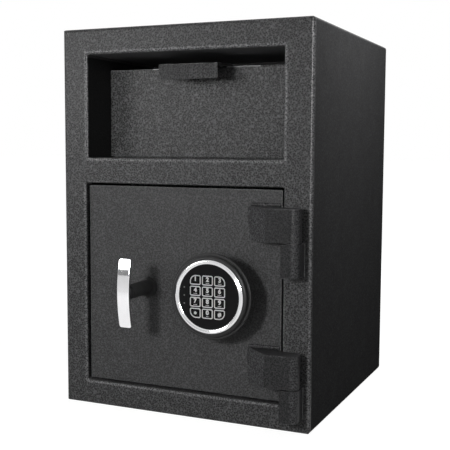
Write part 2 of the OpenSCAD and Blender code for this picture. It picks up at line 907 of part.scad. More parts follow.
module bolt_guide() {
  color(plated) from_front() difference() {
    slab_z(door_z - carriage_half - guide_end, 2 * (carriage_half + guide_end))
      box2(guide_x, door_back, guide_x + guide_t, bolt_rim_y);
    bolt_places() rod_x(guide_x - 1, guide_x + guide_t + 1, bolt_y, 0, bolt_d + 2 * run_fit);
  }
}

module live_bolts() {
  clamp_x = carriage_l + carriage_t;
  color(bright) from_front() bolt_places() {
    intersection() {
      rod_x(bolt_tip_x, carriage_l, bolt_y, 0, bolt_d);
      translate([bolt_tip_x, bolt_y, 0]) rotate([0, 90, 0])
        cylinder(h = 3 * bolt_d, r1 = bolt_d / 2 - bolt_nose, r2 = 3.5 * bolt_d - bolt_nose);
    }
    rod_x(carriage_l - 1, clamp_x, bolt_y, 0, spigot_d);
    rod_x(clamp_x, clamp_x + clamp_t, bolt_y, 0, clamp_d);
  }
}

module stud_places() {
  for (s = [-1, 1])
    translate([stud_x, 0, door_z + s * stud_pitch / 2]) children();
}

module carriage_studs() {
  head_y = carriage_y + carriage_t + seat_gap;
  color(plated) from_front() stud_places() {
    rod_y(door_back - screw_grip, head_y + stud_head, 0, 0, stud_d);
    rod_y(door_back, carriage_y - seat_gap, 0, 0, stud_d + 2 * stud_rim);
    rod_y(head_y, head_y + stud_head, 0, 0, stud_d + 2 * stud_rim);
  }
}

module slot(x0, z0, x1, z1, w) {
  box2(x0 - (z1 > z0 ? w / 2 : 0), z0 - (x1 > x0 ? w / 2 : 0),
    x1 + (z1 > z0 ? w / 2 : 0), z1 + (x1 > x0 ? w / 2 : 0));
  for (p = [[x0, z0], [x1, z1]])
    translate(p) circle(d = w);
}

module carriage_outline() {
  arm_z = lug_z + lug_h;
  box2(carriage_l, door_z - carriage_half, carriage_l + carriage_w, door_z + carriage_half);
  box2(carriage_l + carriage_w - 1, arm_z, lug_x + lug_w / 2, arm_z + lug_h);
}

module bolt_carriage() {
  stud_w = stud_d + 0.5;
  color(plated) from_front() difference() {
    union() {
      slab_y(carriage_y, carriage_t) carriage_outline();
      slab_y(carriage_y, bolt_rim_y - carriage_y)
        box2(carriage_l, door_z - carriage_half, carriage_l + carriage_t, door_z + carriage_half);
      slab_y(carriage_y, plunger_y + lug_back - carriage_y)
        box2(lug_x - lug_w / 2, lug_z, lug_x + lug_w / 2, lug_z + 2 * lug_h);
    }
    bolt_places() rod_x(carriage_l - 1, carriage_l + carriage_t + 1, bolt_y, 0, spigot_d);
    slab_y(carriage_y - 1, carriage_t + 2) {
      for (s = [-1, 1])
        slot(stud_x, door_z + s * stud_pitch / 2, stud_x + bolt_throw,
          door_z + s * stud_pitch / 2, stud_w);
      slot(handle_x + crank_x, door_z + crank_z, handle_x + crank_x, door_z + crank_r,
        crank_d + 2 * crank_play);
    }
  }
}

module solenoid_frame() {
  lo = coil_lo - plate_t;
  color(plated) from_front() difference() {
    union() {
      slab_y(door_back, plate_t)
        box2(plunger_x - coil_w / 2, lo, plunger_x + coil_w / 2, coil_top + plate_t);
      for (z = [lo, coil_top])
        slab_z(z, plate_t)
          box2(plunger_x - coil_w / 2, door_back, plunger_x + coil_w / 2, plunger_y + coil_d / 2);
    }
    rod_z(coil_top - 1, coil_top + plate_t + 1, plunger_x, plunger_y, plunger_d + 2 * run_fit);
  }
}

module solenoid_coil() {
  color([0.55, 0.30, 0.12]) from_front() difference() {
    rod_z(coil_lo, coil_top, plunger_x, plunger_y, coil_d);
    rod_z(coil_lo + coil_floor, coil_top + 1, plunger_x, plunger_y, plunger_d + 2 * run_fit);
  }
}

module solenoid_plunger() {
  collar_z = coil_top + plate_t;
  color(bright) from_front() {
    rod_z(coil_lo + plunger_foot, collar_z + plunger_collar + 1, plunger_x, plunger_y, plunger_d);
    rod_z(collar_z + seat_gap, collar_z + plunger_collar, plunger_x, plunger_y,
      plunger_d + 2 * plunger_collar);
    rod_z(collar_z, plunger_tip, plunger_x, plunger_y, lock_pin_d);
  }
}

module bolt_cover() {
  color(inner_black) from_front() difference() {
    union() {
      slab_y(door_back, cover_depth)
        rounded_rect(cover_l, cover_lo, cover_r, cover_hi, cover_corner_r);
      screw_places() slab_y(door_back, cover_t)
        rounded_rect(-ear_w / 2, -ear_h / 2, ear_w / 2, ear_h / 2, cover_corner_r);
    }
    slab_y(door_back - 1, cover_depth + 1 - cover_t)
      rounded_rect(cover_l + cover_t, cover_lo + cover_t, cover_r - cover_t, cover_hi - cover_t,
        cover_corner_r - cover_t);
    bolt_places() rod_x(cover_l - 1, cover_l + cover_t + 1, bolt_y, 0, bolt_d + 2);
    screw_places() rod_y(door_back - 1, door_back + cover_t + 1, 0, 0, screw_d + side_fit);
    slab_y(cover_back - cover_t - 1, cover_t + 2) {
      box2(box_l - side_fit, box_lo - side_fit, box_l + box_w + side_fit, box_lo + box_h + side_fit);
      translate([button_x, button_z]) circle(d = guide_tube_d + 2 * side_fit);
    }
  }
}

module cover_screws() {
  seat_y = door_back + cover_t;
  color(plated) from_front() screw_places() {
    rod_y(door_back - screw_grip, seat_y, 0, 0, screw_d);
    difference() {
      rod_y(seat_y, seat_y + screw_head_h, 0, 0, 2 * screw_d);
      for (a = [0, 90])
        translate([0, seat_y + screw_head_h - cross_w, 0]) rotate([0, a, 0])
          slab_y(0, 2) box2(-cross_l / 2, -cross_w / 2, cross_l / 2, cross_w / 2);
    }
  }
}

module control_board() {
  y = door_back + board_up;
  plug_z = board_lo + board_h;
  color([0.08, 0.32, 0.18]) from_front() {
    slab_y(y, pcb_t) rounded_rect(board_l, board_lo, board_l + board_w, board_lo + board_h, 2);
    for (x = [board_leg, board_w - board_leg], z = [board_leg, board_h - board_leg])
      rod_y(door_back, y + 1, board_l + x, board_lo + z, board_leg + 1);
    slab_y(y, plug_t)
      box2(keypad_x - plug_w / 2, plug_z - plug_h, keypad_x + plug_w / 2, plug_z);
    for (c = chips)
      slab_y(y, pcb_t + c[4])
        translate([board_l + c[0], board_lo + c[1]]) square([c[2], c[3]]);
    rod_y(y, y + pcb_t + buzzer[3], board_l + buzzer[0], board_lo + buzzer[1], buzzer[2]);
  }
}

module cable_grommet() {
  color(soft_black) from_front() difference() {
    union() {
      rod_y(door_inset, door_back + grommet_lip, keypad_x, door_z, cable_hole_d);
      rod_y(door_back, door_back + grommet_lip, keypad_x, door_z,
        cable_hole_d + 2 * grommet_lip);
    }
    rod_y(0, door_back + grommet_lip + 1, keypad_x, door_z, cable_d + 0.4);
  }
}

module keypad_cable() {
  color(soft_black) from_front() {
    rod_y(-cable_front, cable_down_y - cable_bend, keypad_x, door_z, cable_d);
    translate([keypad_x, cable_down_y - cable_bend, door_z - cable_bend])
      rotate([90, 0, 90]) rotate_extrude(angle = 90) translate([cable_bend, 0]) circle(d = cable_d);
    rod_z(board_lo + board_h, door_z - cable_bend, keypad_x, cable_down_y, cable_d);
  }
}

module battery_box() {
  y0 = cover_back - box_depth;
  color(soft_black) from_front() difference() {
    union() {
      slab_y(y0, box_depth) box2(box_l, box_lo, box_l + box_w, box_lo + box_h);
      slab_y(cover_back - cover_t - box_t, box_t)
        box2(box_l - box_rim, box_lo - box_rim, button_x + guide_tube_d / 2 + 2,
          box_lo + box_h + box_rim);
      rod_y(y0, cover_back, button_x, button_z, guide_tube_d);
    }
    slab_y(y0 + box_t, box_depth)
      box2(box_l + box_t, box_lo + box_t, box_l + box_w - box_t, box_lo + box_h - box_t);
    rod_y(y0 + box_t, cover_back + 1, button_x, button_z, button_d + 2 * run_fit);
  }
}

module batteries() {
  pitch = (box_h - 2 * box_t) / battery_n;
  y = cover_back - box_depth + box_t + battery_d / 2;
  x0 = box_l + box_t + contact_l;
  color([0.75, 0.62, 0.25]) from_front()
    for (i = [0:battery_n - 1]) {
      z = box_lo + box_t + (i + 0.5) * pitch;
      rod_x(x0, x0 + battery_len, y, z, battery_d);
      tip = i % 2 == 0 ? x0 + battery_len : x0 - 1;
      rod_x(tip - 0.5, tip + 1.5, y, z, battery_d / 2.6);
    }
}

module battery_lid() {
  color(soft_black) from_front() {
    slab_y(cover_back, lid_t)
      rounded_rect(box_l - lid_lap, box_lo - lid_lap, box_l + box_w + lid_lap - 1,
        box_lo + box_h + lid_lap, 3);
    for (i = [0:ridge_n - 1])
      slab_y(cover_back + lid_t / 2, lid_t)
        translate([box_l + box_w - ridge_in + ridge_pitch * i, box_lo + (box_h - ridge_h) / 2])
          square([ridge_pitch / 2, ridge_h]);
  }
}

module reset_button() {
  color([0.75, 0.06, 0.05]) from_front()
    rod_y(cover_back - box_depth + box_t + button_travel + 1, cover_back + button_head,
      button_x, button_z, button_d);
}

// Handle

module bow_side() {
  translate([bow_r - bow_front, door_z]) difference() {
    circle(bow_r, $fn = 256);
    circle(bow_r - bow_t, $fn = 256);
  }
}

module handle_bow() {
  color(bright) from_front() intersection() {
    slab_x(handle_x - bow_w / 2, bow_w) bow_side();
    slab_y(-bow_front - 1, bow_rise + bow_t + 3)
      rounded_rect(handle_x - bow_w / 2, door_z - bow_len / 2, handle_x + bow_w / 2,
        door_z + bow_len / 2, bow_corner_r);
  }
}

module handle_neck() {
  color(soft_black) from_front() difference() {
    union() {
      rod_y(-bow_front, neck_back, handle_x, door_z, neck_d - 4);
      rod_y(-bow_front + bow_t + 8, neck_back, handle_x, door_z, neck_d);
      rod_y(neck_back - 5, neck_back, handle_x, door_z, collar_d);
    }
    slab_x(handle_x - neck_d, 2 * neck_d)
      translate([bow_r - bow_front, door_z]) difference() {
        circle(bow_r + 20, $fn = 256);
        circle(bow_r - bow_t, $fn = 256);
      }
    rod_y(-bow_front / 2, neck_back + 1, handle_x, door_z, spindle_d);
  }
}

module handle_spindle() {
  color(plated) from_front()
    rod_y(-bow_front / 2, cam_y + cam_t, handle_x, door_z, spindle_d);
}

module spindle_cam() {
  color(plated) from_front() {
    difference() {
      rod_y(cam_y, cam_y + cam_t, handle_x, door_z, cam_d);
      rod_y(cam_y - 1, cam_y + cam_t + 1, handle_x, door_z, spindle_d);
    }
    rod_y(cam_y + cam_t / 2, carriage_y + carriage_t + 2, handle_x + crank_x, door_z + crank_z,
      crank_d);
  }
}

// Keypad

module keypad_base() {
  color(soft_black) from_front() turned(keypad_x, door_z) difference() {
    box2(cable_d / 2 + 0.2, -door_inset, base_d / 2, base_front);
    corner_cut(base_d / 2, base_front, base_round, -1, -1);
  }
}

module keypad_housing() {
  color(soft_black) from_front() turned(keypad_x, door_z) {
    box2(cable_d / 2 + 0.2, base_front, base_d / 2, base_front + house_floor);
    difference() {
      polygon([
        [house_in, base_front], [base_d / 2, base_front], [base_d / 2 + bowl_step, bowl_y],
        [flange_r, flange_back], [flange_r, flange_front], [shoulder_r, flange_front],
        [shoulder_r, shoulder_front], [ring_r, shoulder_front], [ring_r, face_back],
        [house_in, face_back]
      ]);
      corner_cut(shoulder_r, shoulder_front, shoulder_round, -1, -1);
      corner_cut(flange_r, flange_front, flange_round, -1, -1);
      corner_cut(flange_r, flange_back, flange_round, -1, 1);
    }
  }
}

module keypad_ring() {
  color(bright) from_front() turned(keypad_x, door_z) difference() {
    box2(ring_in_d / 2, face_back, ring_r, ring_front);
    corner_cut(ring_r, ring_front, ring_round, -1, -1);
    corner_cut(ring_in_d / 2, ring_front, ring_round / 2, 1, -1);
  }
}

// Half a key wider by a clearance all round, with the outer corner of a corner key cut large
module key_outline(column, row, out = 0) {
  w = key_w / 2 + out;
  h = key_h / 2 + out;
  difference() {
    square([2 * w, 2 * h], center = true);
    for (sx = [-1, 1], sz = [-1, 1]) {
      big = sx == column && sz * 1.5 == row;
      corner_cut(sx * w, sz * h, (big ? key_big_r : key_r) + out, -sx, -sz);
    }
  }
}

module key_place(column, row) {
  translate([key_cx + column * key_dx, key_cz + row * key_dz]) children();
}

module keypad_face() {
  color(soft_black) from_front() difference() {
    rod_y(-face_front, -face_back, keypad_x, door_z, 2 * face_r);
    slab_y(-face_front - 1, face_t + 2)
      for (column = [-1:1], row = [-1.5:1.5])
        key_place(column, row) key_outline(column, row, side_fit);
    lamp_places() rod_y(-face_front - 1, 1 - face_back, 0, 0, lamp_d);
  }
}

module lamp_places() {
  for (i = [-1:1])
    translate([lamp_x, 0, door_z + i * lamp_pitch]) children();
}

module keypad_lamps() {
  color([0.25, 0.25, 0.24]) from_front() lamp_places()
    rod_y(-face_front - 0.2, -face_back, 0, 0, lamp_d);
}

module key_board() {
  y = board_gap - key_back;
  color([0.3, 0.3, 0.3]) from_front() {
    rod_y(y, y + board_t, keypad_x, door_z, 2 * house_in - 0.4);
    for (a = [45:90:315])
      translate([keypad_x + (house_in - board_leg_in) * cos(a), 0,
                 door_z + (house_in - board_leg_in) * sin(a)])
        rod_y(y + board_t / 2, -base_front - house_floor, 0, 0, board_leg_d);
  }
}

module key(column, row) {
  color(soft_black) from_front() slab_y(-face_front - key_proud, face_front + key_proud - key_back)
    key_place(column, row) key_outline(column, row);
}

module key_1() key(-1, 1.5);
module key_2() key(0, 1.5);
module key_3() key(1, 1.5);
module key_4() key(-1, 0.5);
module key_5() key(0, 0.5);
module key_6() key(1, 0.5);
module key_7() key(-1, -0.5);
module key_8() key(0, -0.5);
module key_9() key(1, -0.5);
module key_star() key(-1, -1.5);
module key_0() key(0, -1.5);
module key_hash() key(1, -1.5);

cabinet_wrap();
front_frame();
back_panel();
recess_liner();
anti_fishing_baffle();
hopper_stop_buffers();
hopper_rest_bar();
trunnion_bearings();
door_stops();
body_hinge_knuckles();
hinge_pins();
hinge_washers();
floor_mat();
hopper_panel();
hopper_pull_tab();
tab_rivets();
hopper_tray();
hopper_cheeks();
hopper_trunnions();
door_plate();
door_hinge_leaves();
dead_bar();
bolt_guide();
carriage_studs();
bolt_cover();
cover_screws();
control_board();
cable_grommet();
keypad_cable();
battery_box();
batteries();
battery_lid();
solenoid_frame();
solenoid_coil();
keypad_base();
keypad_housing();
keypad_ring();
keypad_face();
keypad_lamps();
key_board();
handle_bow();
handle_neck();
handle_spindle();
spindle_cam();
bolt_carriage();
live_bolts();
solenoid_plunger();
reset_button();
key_1();
key_2();
key_3();
key_4();
key_5();
key_6();
key_7();
key_8();
key_9();
key_star();
key_0();
key_hash();
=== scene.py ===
"""Deposit safe: surface finishes, printed keys, weld beads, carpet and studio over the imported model.

Metres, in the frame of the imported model: +X to the right, +Y to the back, +Z up, floor at z = 0.
"""

import logging
import math
from dataclasses import dataclass
from enum import Enum
from typing import Any, Iterable, Sequence

import bmesh
import bpy
from mathutils import Matrix, Vector


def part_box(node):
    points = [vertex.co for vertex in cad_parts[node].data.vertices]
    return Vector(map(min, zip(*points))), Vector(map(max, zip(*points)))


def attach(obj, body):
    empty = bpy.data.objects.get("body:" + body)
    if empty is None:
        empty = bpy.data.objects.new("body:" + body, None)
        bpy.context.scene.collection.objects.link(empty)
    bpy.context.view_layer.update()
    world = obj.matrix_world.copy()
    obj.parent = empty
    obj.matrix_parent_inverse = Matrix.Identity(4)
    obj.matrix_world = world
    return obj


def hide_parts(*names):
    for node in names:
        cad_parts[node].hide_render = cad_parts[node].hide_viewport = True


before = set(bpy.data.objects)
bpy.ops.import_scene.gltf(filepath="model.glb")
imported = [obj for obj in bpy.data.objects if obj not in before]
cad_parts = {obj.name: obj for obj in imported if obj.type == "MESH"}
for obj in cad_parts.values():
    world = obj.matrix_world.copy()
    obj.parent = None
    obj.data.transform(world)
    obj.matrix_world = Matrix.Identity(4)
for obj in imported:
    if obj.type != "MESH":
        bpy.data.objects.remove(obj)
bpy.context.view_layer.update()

log = logging.getLogger("deposit_safe")

Colour = tuple[float, float, float]
Point = tuple[float, float, float]
Pair = tuple[float, float]
Socket = bpy.types.NodeSocket
Mesh = bpy.types.Mesh
Piece = bpy.types.Object
Work = bmesh.types.BMesh
MM = 0.001
MERGE_DISTANCE = 0.001 * MM
QUARTER = math.pi / 2
WHITE = (1, 1, 1, 1)


# Node trees


class Value:
    """A number that varies over a surface, with Python arithmetic that adds Math nodes."""

    def __init__(self, tree: "Tree", socket: Socket) -> None:
        """Takes the output socket of a node in a tree."""
        self.tree = tree
        self.socket = socket

    def math(self, operation: str, *others: "Value | float") -> "Value":
        """The result of a new Math node that has this number as its first input."""
        terms = dict(enumerate((self, *others)))
        node = self.tree.node("ShaderNodeMath", {"operation": operation}, terms)
        return Value(self.tree, node.outputs[0])

    def __add__(self, other: "Value | float") -> "Value":
        """Sum."""
        return self.math("ADD", other)

    def __sub__(self, other: "Value | float") -> "Value":
        """Difference."""
        return self.math("SUBTRACT", other)

    def __rsub__(self, other: float) -> "Value":
        """Difference from a number."""
        return self.math("MULTIPLY_ADD", -1.0, other)

    def __mul__(self, other: "Value | float") -> "Value":
        """Product."""
        return self.math("MULTIPLY", other)

    __radd__, __rmul__ = __add__, __mul__

    def above(self, edge: "Value | float") -> "Value":
        """1 where this is greater than edge, and 0 elsewhere."""
        return self.math("GREATER_THAN", edge)

    def swing(self, share: float) -> "Value":
        """How far a pattern is from its mean of 0.5, scaled."""
        return (self - 0.5) * share

    def ramp(self, low: float, high: float) -> "Value":
        """0 at low and under it, 1 at high and over it, straight between."""
        node = self.tree.node(
            "ShaderNodeMapRange", {"clamp": True}, {"Value": self, "From Min": low, "From Max": high}
        )
        return Value(self.tree, node.outputs[0])


class Tree:
    """Adds nodes to a shader, world or geometry tree."""

    def __init__(self, nodes: bpy.types.NodeTree) -> None:
        """Takes a tree and empties it."""
        self.nodes = nodes
        self.nodes.nodes.clear()

    def node(
        self,
        kind: str,
        settings: dict[str, Any] | None = None,
        inputs: dict[str | int, Any] | None = None,
    ) -> bpy.types.Node:
        """Adds a node.

        Args:
            kind: The node's type.
            settings: Its own settings, which are set first; "stops" fills a colour ramp.
            inputs: Values or links by socket name or place.

        Returns:
            The node.
        """
        made = self.nodes.nodes.new(kind)
        for name, setting in (settings or {}).items():
            if name == "stops":
                self.set_stops(made.color_ramp, setting)
            else:
                setattr(made, name, setting)
        for key, given in (inputs or {}).items():
            if isinstance(given, Value):
                given = given.socket
            if isinstance(given, Socket):
                self.nodes.links.new(given, made.inputs[key])
            else:
                made.inputs[key].default_value = given
        return made

    def part(self, vector: Socket, name: str) -> Value:
        """X, Y or Z of a vector."""
        return Value(self, self.node("ShaderNodeSeparateXYZ", inputs={0: vector}).outputs[name])

    @staticmethod
    def set_stops(ramp: bpy.types.ColorRamp, stops: Sequence[tuple[float, Colour]]) -> None:
        """Fills a colour ramp.

        Args:
            ramp: The ramp.
            stops: Places from 0 to 1 with their colours, at least two.
        """
        while len(ramp.elements) < len(stops):
            ramp.elements.new(0.5)
        for element, (place, colour) in zip(ramp.elements, stops):
            element.position = place
            element.color = (*colour, 1)


class Surface(Tree):
    """The shader tree of one material, with the patterns that the finishes share."""

    def __init__(self, material: bpy.types.Material) -> None:
        """Starts the tree of a material."""
        material.use_nodes = True
        super().__init__(material.node_tree)
        self.coordinates = self.node("ShaderNodeTexCoord").outputs
        self.place = self.coordinates["Object"]

    def axis(self, name: str) -> Value:
        """X, Y or Z of the object's own coordinates."""
        return self.part(self.place, name)

    def edges(self, bend: Pair = (0.01, 0.12)) -> Value:
        """0 on flats that lie square to the object, and 1 on the rounded edges between them."""
        x, y, z = [self.part(self.coordinates["Normal"], name).math("ABSOLUTE") for name in "XYZ"]
        return (1 - x.math("MAXIMUM", y).math("MAXIMUM", z)).ramp(*bend)

    def stretched(self, scale: Point) -> Socket:
        """Object coordinates scaled by axis."""
        return self.node("ShaderNodeMapping", inputs={"Vector": self.place, "Scale": scale}).outputs[0]

    def noise(self, grain: float, detail: float = 2.0, vector: Socket | None = None) -> Value:
        """Soft noise around 0.5, with grains of a size, in octaves of detail."""
        inputs = {"Vector": vector or self.place, "Scale": 1 / grain, "Detail": detail}
        return Value(self, self.node("ShaderNodeTexNoise", inputs=inputs).outputs[0])

    def cells(self, grain: float) -> Value:
        """Distance to the nearest of many scattered points, as a share of the grain."""
        inputs = {"Vector": self.place, "Scale": 1 / grain}
        return Value(self, self.node("ShaderNodeTexVoronoi", inputs=inputs).outputs["Distance"])

    def tint(self, colour: Colour, brightness: Value) -> Socket:
        """A colour made brighter or darker by a value."""
        inputs = {0: colour, "Scale": brightness}
        return self.node("ShaderNodeVectorMath", {"operation": "SCALE"}, inputs).outputs[0]

    def blend(self, share: Value, low: Any, high: Any) -> Socket:
        """Mixes two colours.

        Args:
            share: How much of the second.
            low: The first colour or its socket.
            high: The second colour or its socket.

        Returns:
            The mixed colour.
        """
        low, high = [(*c, 1) if isinstance(c, tuple) else c for c in (low, high)]
        inputs = {0: share, 6: low, 7: high}
        return self.node("ShaderNodeMix", {"data_type": "RGBA"}, inputs).outputs[2]

    def bump(self, height: Value, depth: float, strength: float = 1.0) -> Socket:
        """The normal bent by a relief: its height from 0 to 1, its real depth, and how much shows."""
        inputs = {"Height": height, "Distance": depth, "Strength": strength}
        return self.node("ShaderNodeBump", inputs=inputs).outputs[0]

    def output(self, inputs: dict[str, Any]) -> None:
        """Ends the tree in a Principled shader with these inputs."""
        shader = self.node("ShaderNodeBsdfPrincipled", inputs=inputs)
        self.node("ShaderNodeOutputMaterial", inputs={0: shader.outputs[0]})


# Finishes


@dataclass(frozen=True)
class Finish:
    """A surface finish that turns into one material."""

    name: str
    slot: str
    colour: Colour
    roughness: float = 0.5
    metallic: float = 0.0
    specular: float = 0.5

    def material(self) -> bpy.types.Material:
        """The material, made when it is first asked for."""
        label = f"{self.name}_finish"
        made = bpy.data.materials.get(label)
        if made is None:
            made = bpy.data.materials.new(label)
            surface = Surface(made)
            plain = {
                "Base Color": (*self.colour, 1),
                "Roughness": self.roughness,
                "Metallic": self.metallic,
                "Specular IOR Level": self.specular,
            }
            surface.output(plain | self.pattern(surface))
        return made

    def pattern(self, surface: Surface) -> dict[str, Any]:
        """Inputs of the shader that vary over the surface."""
        raise NotImplementedError


@dataclass(frozen=True)
class PowderCoat(Finish):
    """Baked powder paint with a fine sandy texture."""

    grain: float = 2.1 * MM
    relief: float = 0.16 * MM
    relief_shading: float = 2.1
    patch: float = 30 * MM
    patch_share: float = 0.12
    edge_share: float = 1.2
    sand: Pair = (0.1, 0.95)
    patch_gloss: float = 0.1
    edge_gloss: float = 0.12
    shows: float = 0.8

    def thin(self, surface: Surface) -> Value:
        """Where the rounded edges are lightened: partly thin paint, partly painted highlight."""
        return surface.edges()

    def pattern(self, surface: Surface) -> dict[str, Any]:
        """Sandy relief, with painted shade in its pits and painted light on its tops, faint broad
        patches, and rounded edges lightened partly as thin paint and partly as painted highlight.
        """
        sand = surface.cells(self.grain).ramp(*self.sand)
        patches = surface.noise(self.patch)
        thin = self.thin(surface)
        # Painted shade and light: the tone follows the sandy relief, darker in its pits and lighter on
        # its tops.
        light = 1 + sand.swing(self.relief_shading) + patches.swing(2 * self.patch_share)
        # Painted highlight, partly thin paint: the rounded edges are made lighter.
        light = light * (1 + thin * self.edge_share)
        return {
            "Base Color": surface.tint(self.colour, light),
            "Roughness": self.roughness + patches.swing(self.patch_gloss) - thin * self.edge_gloss,
            "Normal": surface.bump(sand, self.relief, self.shows),
        }


@dataclass(frozen=True)
class FrameCoat(PowderCoat):
    """The coat of the front, lighter along the opening of the recess and on the inner edges: partly worn
    paint, partly painted highlight.
    """

    half_width: float = 0.0
    low: float = 0.0
    high: float = 0.0
    worn_and_lit_band: Pair = (3.2 * MM, 5.0 * MM)
    outer_x: float = 170 * MM
    outer_low: float = 6 * MM
    outer_high: float = 504 * MM
    waver: Pair = (4 * MM, 1.5 * MM)

    def thin(self, surface: Surface) -> Value:
        """Rounded edges except the outer left, top and bottom ones, and a line round the recess: painted
        highlight, partly worn paint.
        """
        x, z = surface.axis("X"), surface.axis("Z")
        # The outer left, top and bottom edges are left without the painted highlight.
        inner = x.above(-self.outer_x) * z.above(self.outer_low) * (1 - z.above(self.outer_high))
        middle, half_height = (self.low + self.high) / 2, (self.high - self.low) / 2
        beside = x.math("ABSOLUTE") - self.half_width
        over = (z - middle).math("ABSOLUTE") - half_height
        grain, shift = self.waver
        outside = beside.math("MAXIMUM", over) + surface.noise(grain).swing(shift)
        # Painted highlight, partly worn paint: a line along the opening of the recess.
        line = 1 - outside.ramp(*self.worn_and_lit_band)
        return (surface.edges() * inner).math("MAXIMUM", line)


@dataclass(frozen=True)
class LinerCoat(PowderCoat):
    """The coat inside the recess, with painted light on its ceiling."""

    ceiling: float = 474 * MM
    blend_height: float = 2 * MM
    painted_ceiling_light: float = 5.0

    def pattern(self, surface: Surface) -> dict[str, Any]:
        """The coat's own pattern, with painted light on the ceiling."""
        inputs = super().pattern(surface)
        # Painted light: the ceiling of the recess is made paler.
        above = surface.axis("Z").ramp(self.ceiling - self.blend_height, self.ceiling)
        inputs["Base Color"] = surface.tint(inputs["Base Color"], 1 + above * (self.painted_ceiling_light - 1))
        return inputs


@dataclass(frozen=True)
class RubbedCoat(PowderCoat):
    """Powder paint with a bright line along its upper front edge, in a few runs: rubbed to bare metal,
    and partly a painted highlight.
    """

    level: float = 0.0
    front: float = 0.0
    edge: float = 1.5 * MM
    reach: float = 2.5 * MM
    runs: tuple[Pair, ...] = ()
    metal: Colour = (0.75, 0.75, 0.76)
    bareness: float = 0.3
    ends: Pair = (6 * MM, 8 * MM)
    waver: Pair = (3 * MM, 0.5 * MM)

    def pattern(self, surface: Surface) -> dict[str, Any]:
        """The powder coat with the bright runs mixed in: bare metal, partly painted highlight."""
        inputs = super().pattern(surface)
        across, depth = [
            surface.axis(name) + surface.noise(grain).swing(shift)
            for name, (grain, shift) in (("X", self.ends), ("Z", self.waver))
        ]
        # Partly painted highlight: bare, bright metal in runs along the upper front edge.
        bare_and_highlight = depth.above(self.level - self.edge)
        bare_and_highlight = bare_and_highlight * (1 - surface.axis("Y").above(self.front + self.reach))
        runs = 0.0
        for start, end in self.runs:
            runs = across.above(start) * (1 - across.above(end)) + runs
        bare_and_highlight = bare_and_highlight * runs
        base = surface.blend(bare_and_highlight, inputs["Base Color"], self.metal)
        shine = bare_and_highlight * self.bareness
        rough = inputs["Roughness"] * (1 - bare_and_highlight) + shine
        return inputs | {"Base Color": base, "Roughness": rough, "Metallic": shine}


@dataclass(frozen=True)
class Metal(Finish):
    """Bare or plated metal with fine cloudy changes of gloss."""

    metallic: float = 1.0
    cloud: float = 12 * MM
    cloud_share: float = 0.12
    relief: float = 0.01 * MM
    gloss_share: float = 0.15
    draw: Point = (1.0, 1.0, 1.0)
    line: float = 0.7 * MM
    shows: float = 0.4

    def pattern(self, surface: Surface) -> dict[str, Any]:
        """Clouds of brightness and gloss, drawn out along one axis where draw says so."""
        clouds = surface.noise(self.cloud, 4)
        lines = surface.noise(self.line, 2, surface.stretched(self.draw))
        light, gloss = [
            base + clouds.swing(share) + lines.swing(share)
            for base, share in ((1, self.cloud_share), (self.roughness, self.gloss_share))
        ]
        return {
            "Base Color": surface.tint(self.colour, light),
            "Roughness": gloss,
            "Normal": surface.bump(lines, self.relief, self.shows),
        }


@dataclass(frozen=True)
class Moulded(Finish):
    """Moulded plastic or rubber with a fine spark-eroded texture and handling marks."""

    grain: float = 0.6 * MM
    relief: float = 0.03 * MM
    marks: float = 0.15
    mark_size: float = 9 * MM
    mark_shade: float = 0.3
    shows: float = 0.6

    def pattern(self, surface: Surface) -> dict[str, Any]:
        """Fine relief, and broad marks in the gloss."""
        grain = surface.noise(self.grain, 2)
        marks = surface.noise(self.mark_size, 4)
        return {
            "Base Color": surface.tint(self.colour, 1 + marks.swing(self.mark_shade)),
            "Roughness": self.roughness + marks.swing(self.marks),
            "Normal": surface.bump(grain, self.relief, self.shows),
        }


@dataclass(frozen=True)
class Carpet(Finish):
    """Short grey pile, with painted shade down between the tufts and, partly, painted light on the
    fibres that stand higher.
    """

    tuft: float = 1.8 * MM
    fibre: float = 0.5 * MM
    tread: float = 60 * MM
    depth: float = 0.8 * MM
    darkest: float = 0.6
    fibre_shares: Pair = (0.6, 0.4)
    tuft_shade: float = 0.5
    tread_share: float = 0.5

    def pattern(self, surface: Surface) -> dict[str, Any]:
        """Fibres of three sizes, with painted shade between the tufts."""
        tufts = surface.cells(self.tuft)
        fibres = surface.noise(self.fibre, 3)
        tread = surface.noise(self.tread)
        light_share, height_share = self.fibre_shares
        # Partly painted light: the fibres are lighter where they stand higher.
        light = self.darkest + fibres * light_share
        # Painted shade: darker down between the tufts.
        light = light - tufts.swing(self.tuft_shade) + tread.swing(self.tread_share)
        return {
            "Base Color": surface.tint(self.colour, light),
            "Normal": surface.bump(1 - tufts + fibres * height_share, self.depth),
        }


@dataclass(frozen=True)
class Board(Finish):
    """Lacquered circuit board with tracks, and black blocks where it stands higher."""

    front: float = 0.0
    block: Colour = (0.015, 0.015, 0.017)
    track: Colour = (0.03, 0.22, 0.10)
    pitch: float = 7 * MM
    depth: float = 0.05 * MM
    gloss: Pair = (0.3, 0.6)

    def pattern(self, surface: Surface) -> dict[str, Any]:
        """Tracks on the board and plain black above its face."""
        inputs = {"Vector": surface.stretched((1, 0.001, 1)), "Scale": 1 / self.pitch}
        bricks = surface.node("ShaderNodeTexBrick", {"offset": 0.5}, inputs)
        lines = Value(surface, bricks.outputs["Fac"])
        tracks = surface.blend(lines, self.colour, self.track)
        raised = surface.axis("Y").above(self.front)
        lacquer, case = self.gloss
        return {
            "Base Color": surface.blend(raised, tracks, self.block),
            "Roughness": lacquer + raised * (case - lacquer),
            "Normal": surface.bump(lines, self.depth),
        }


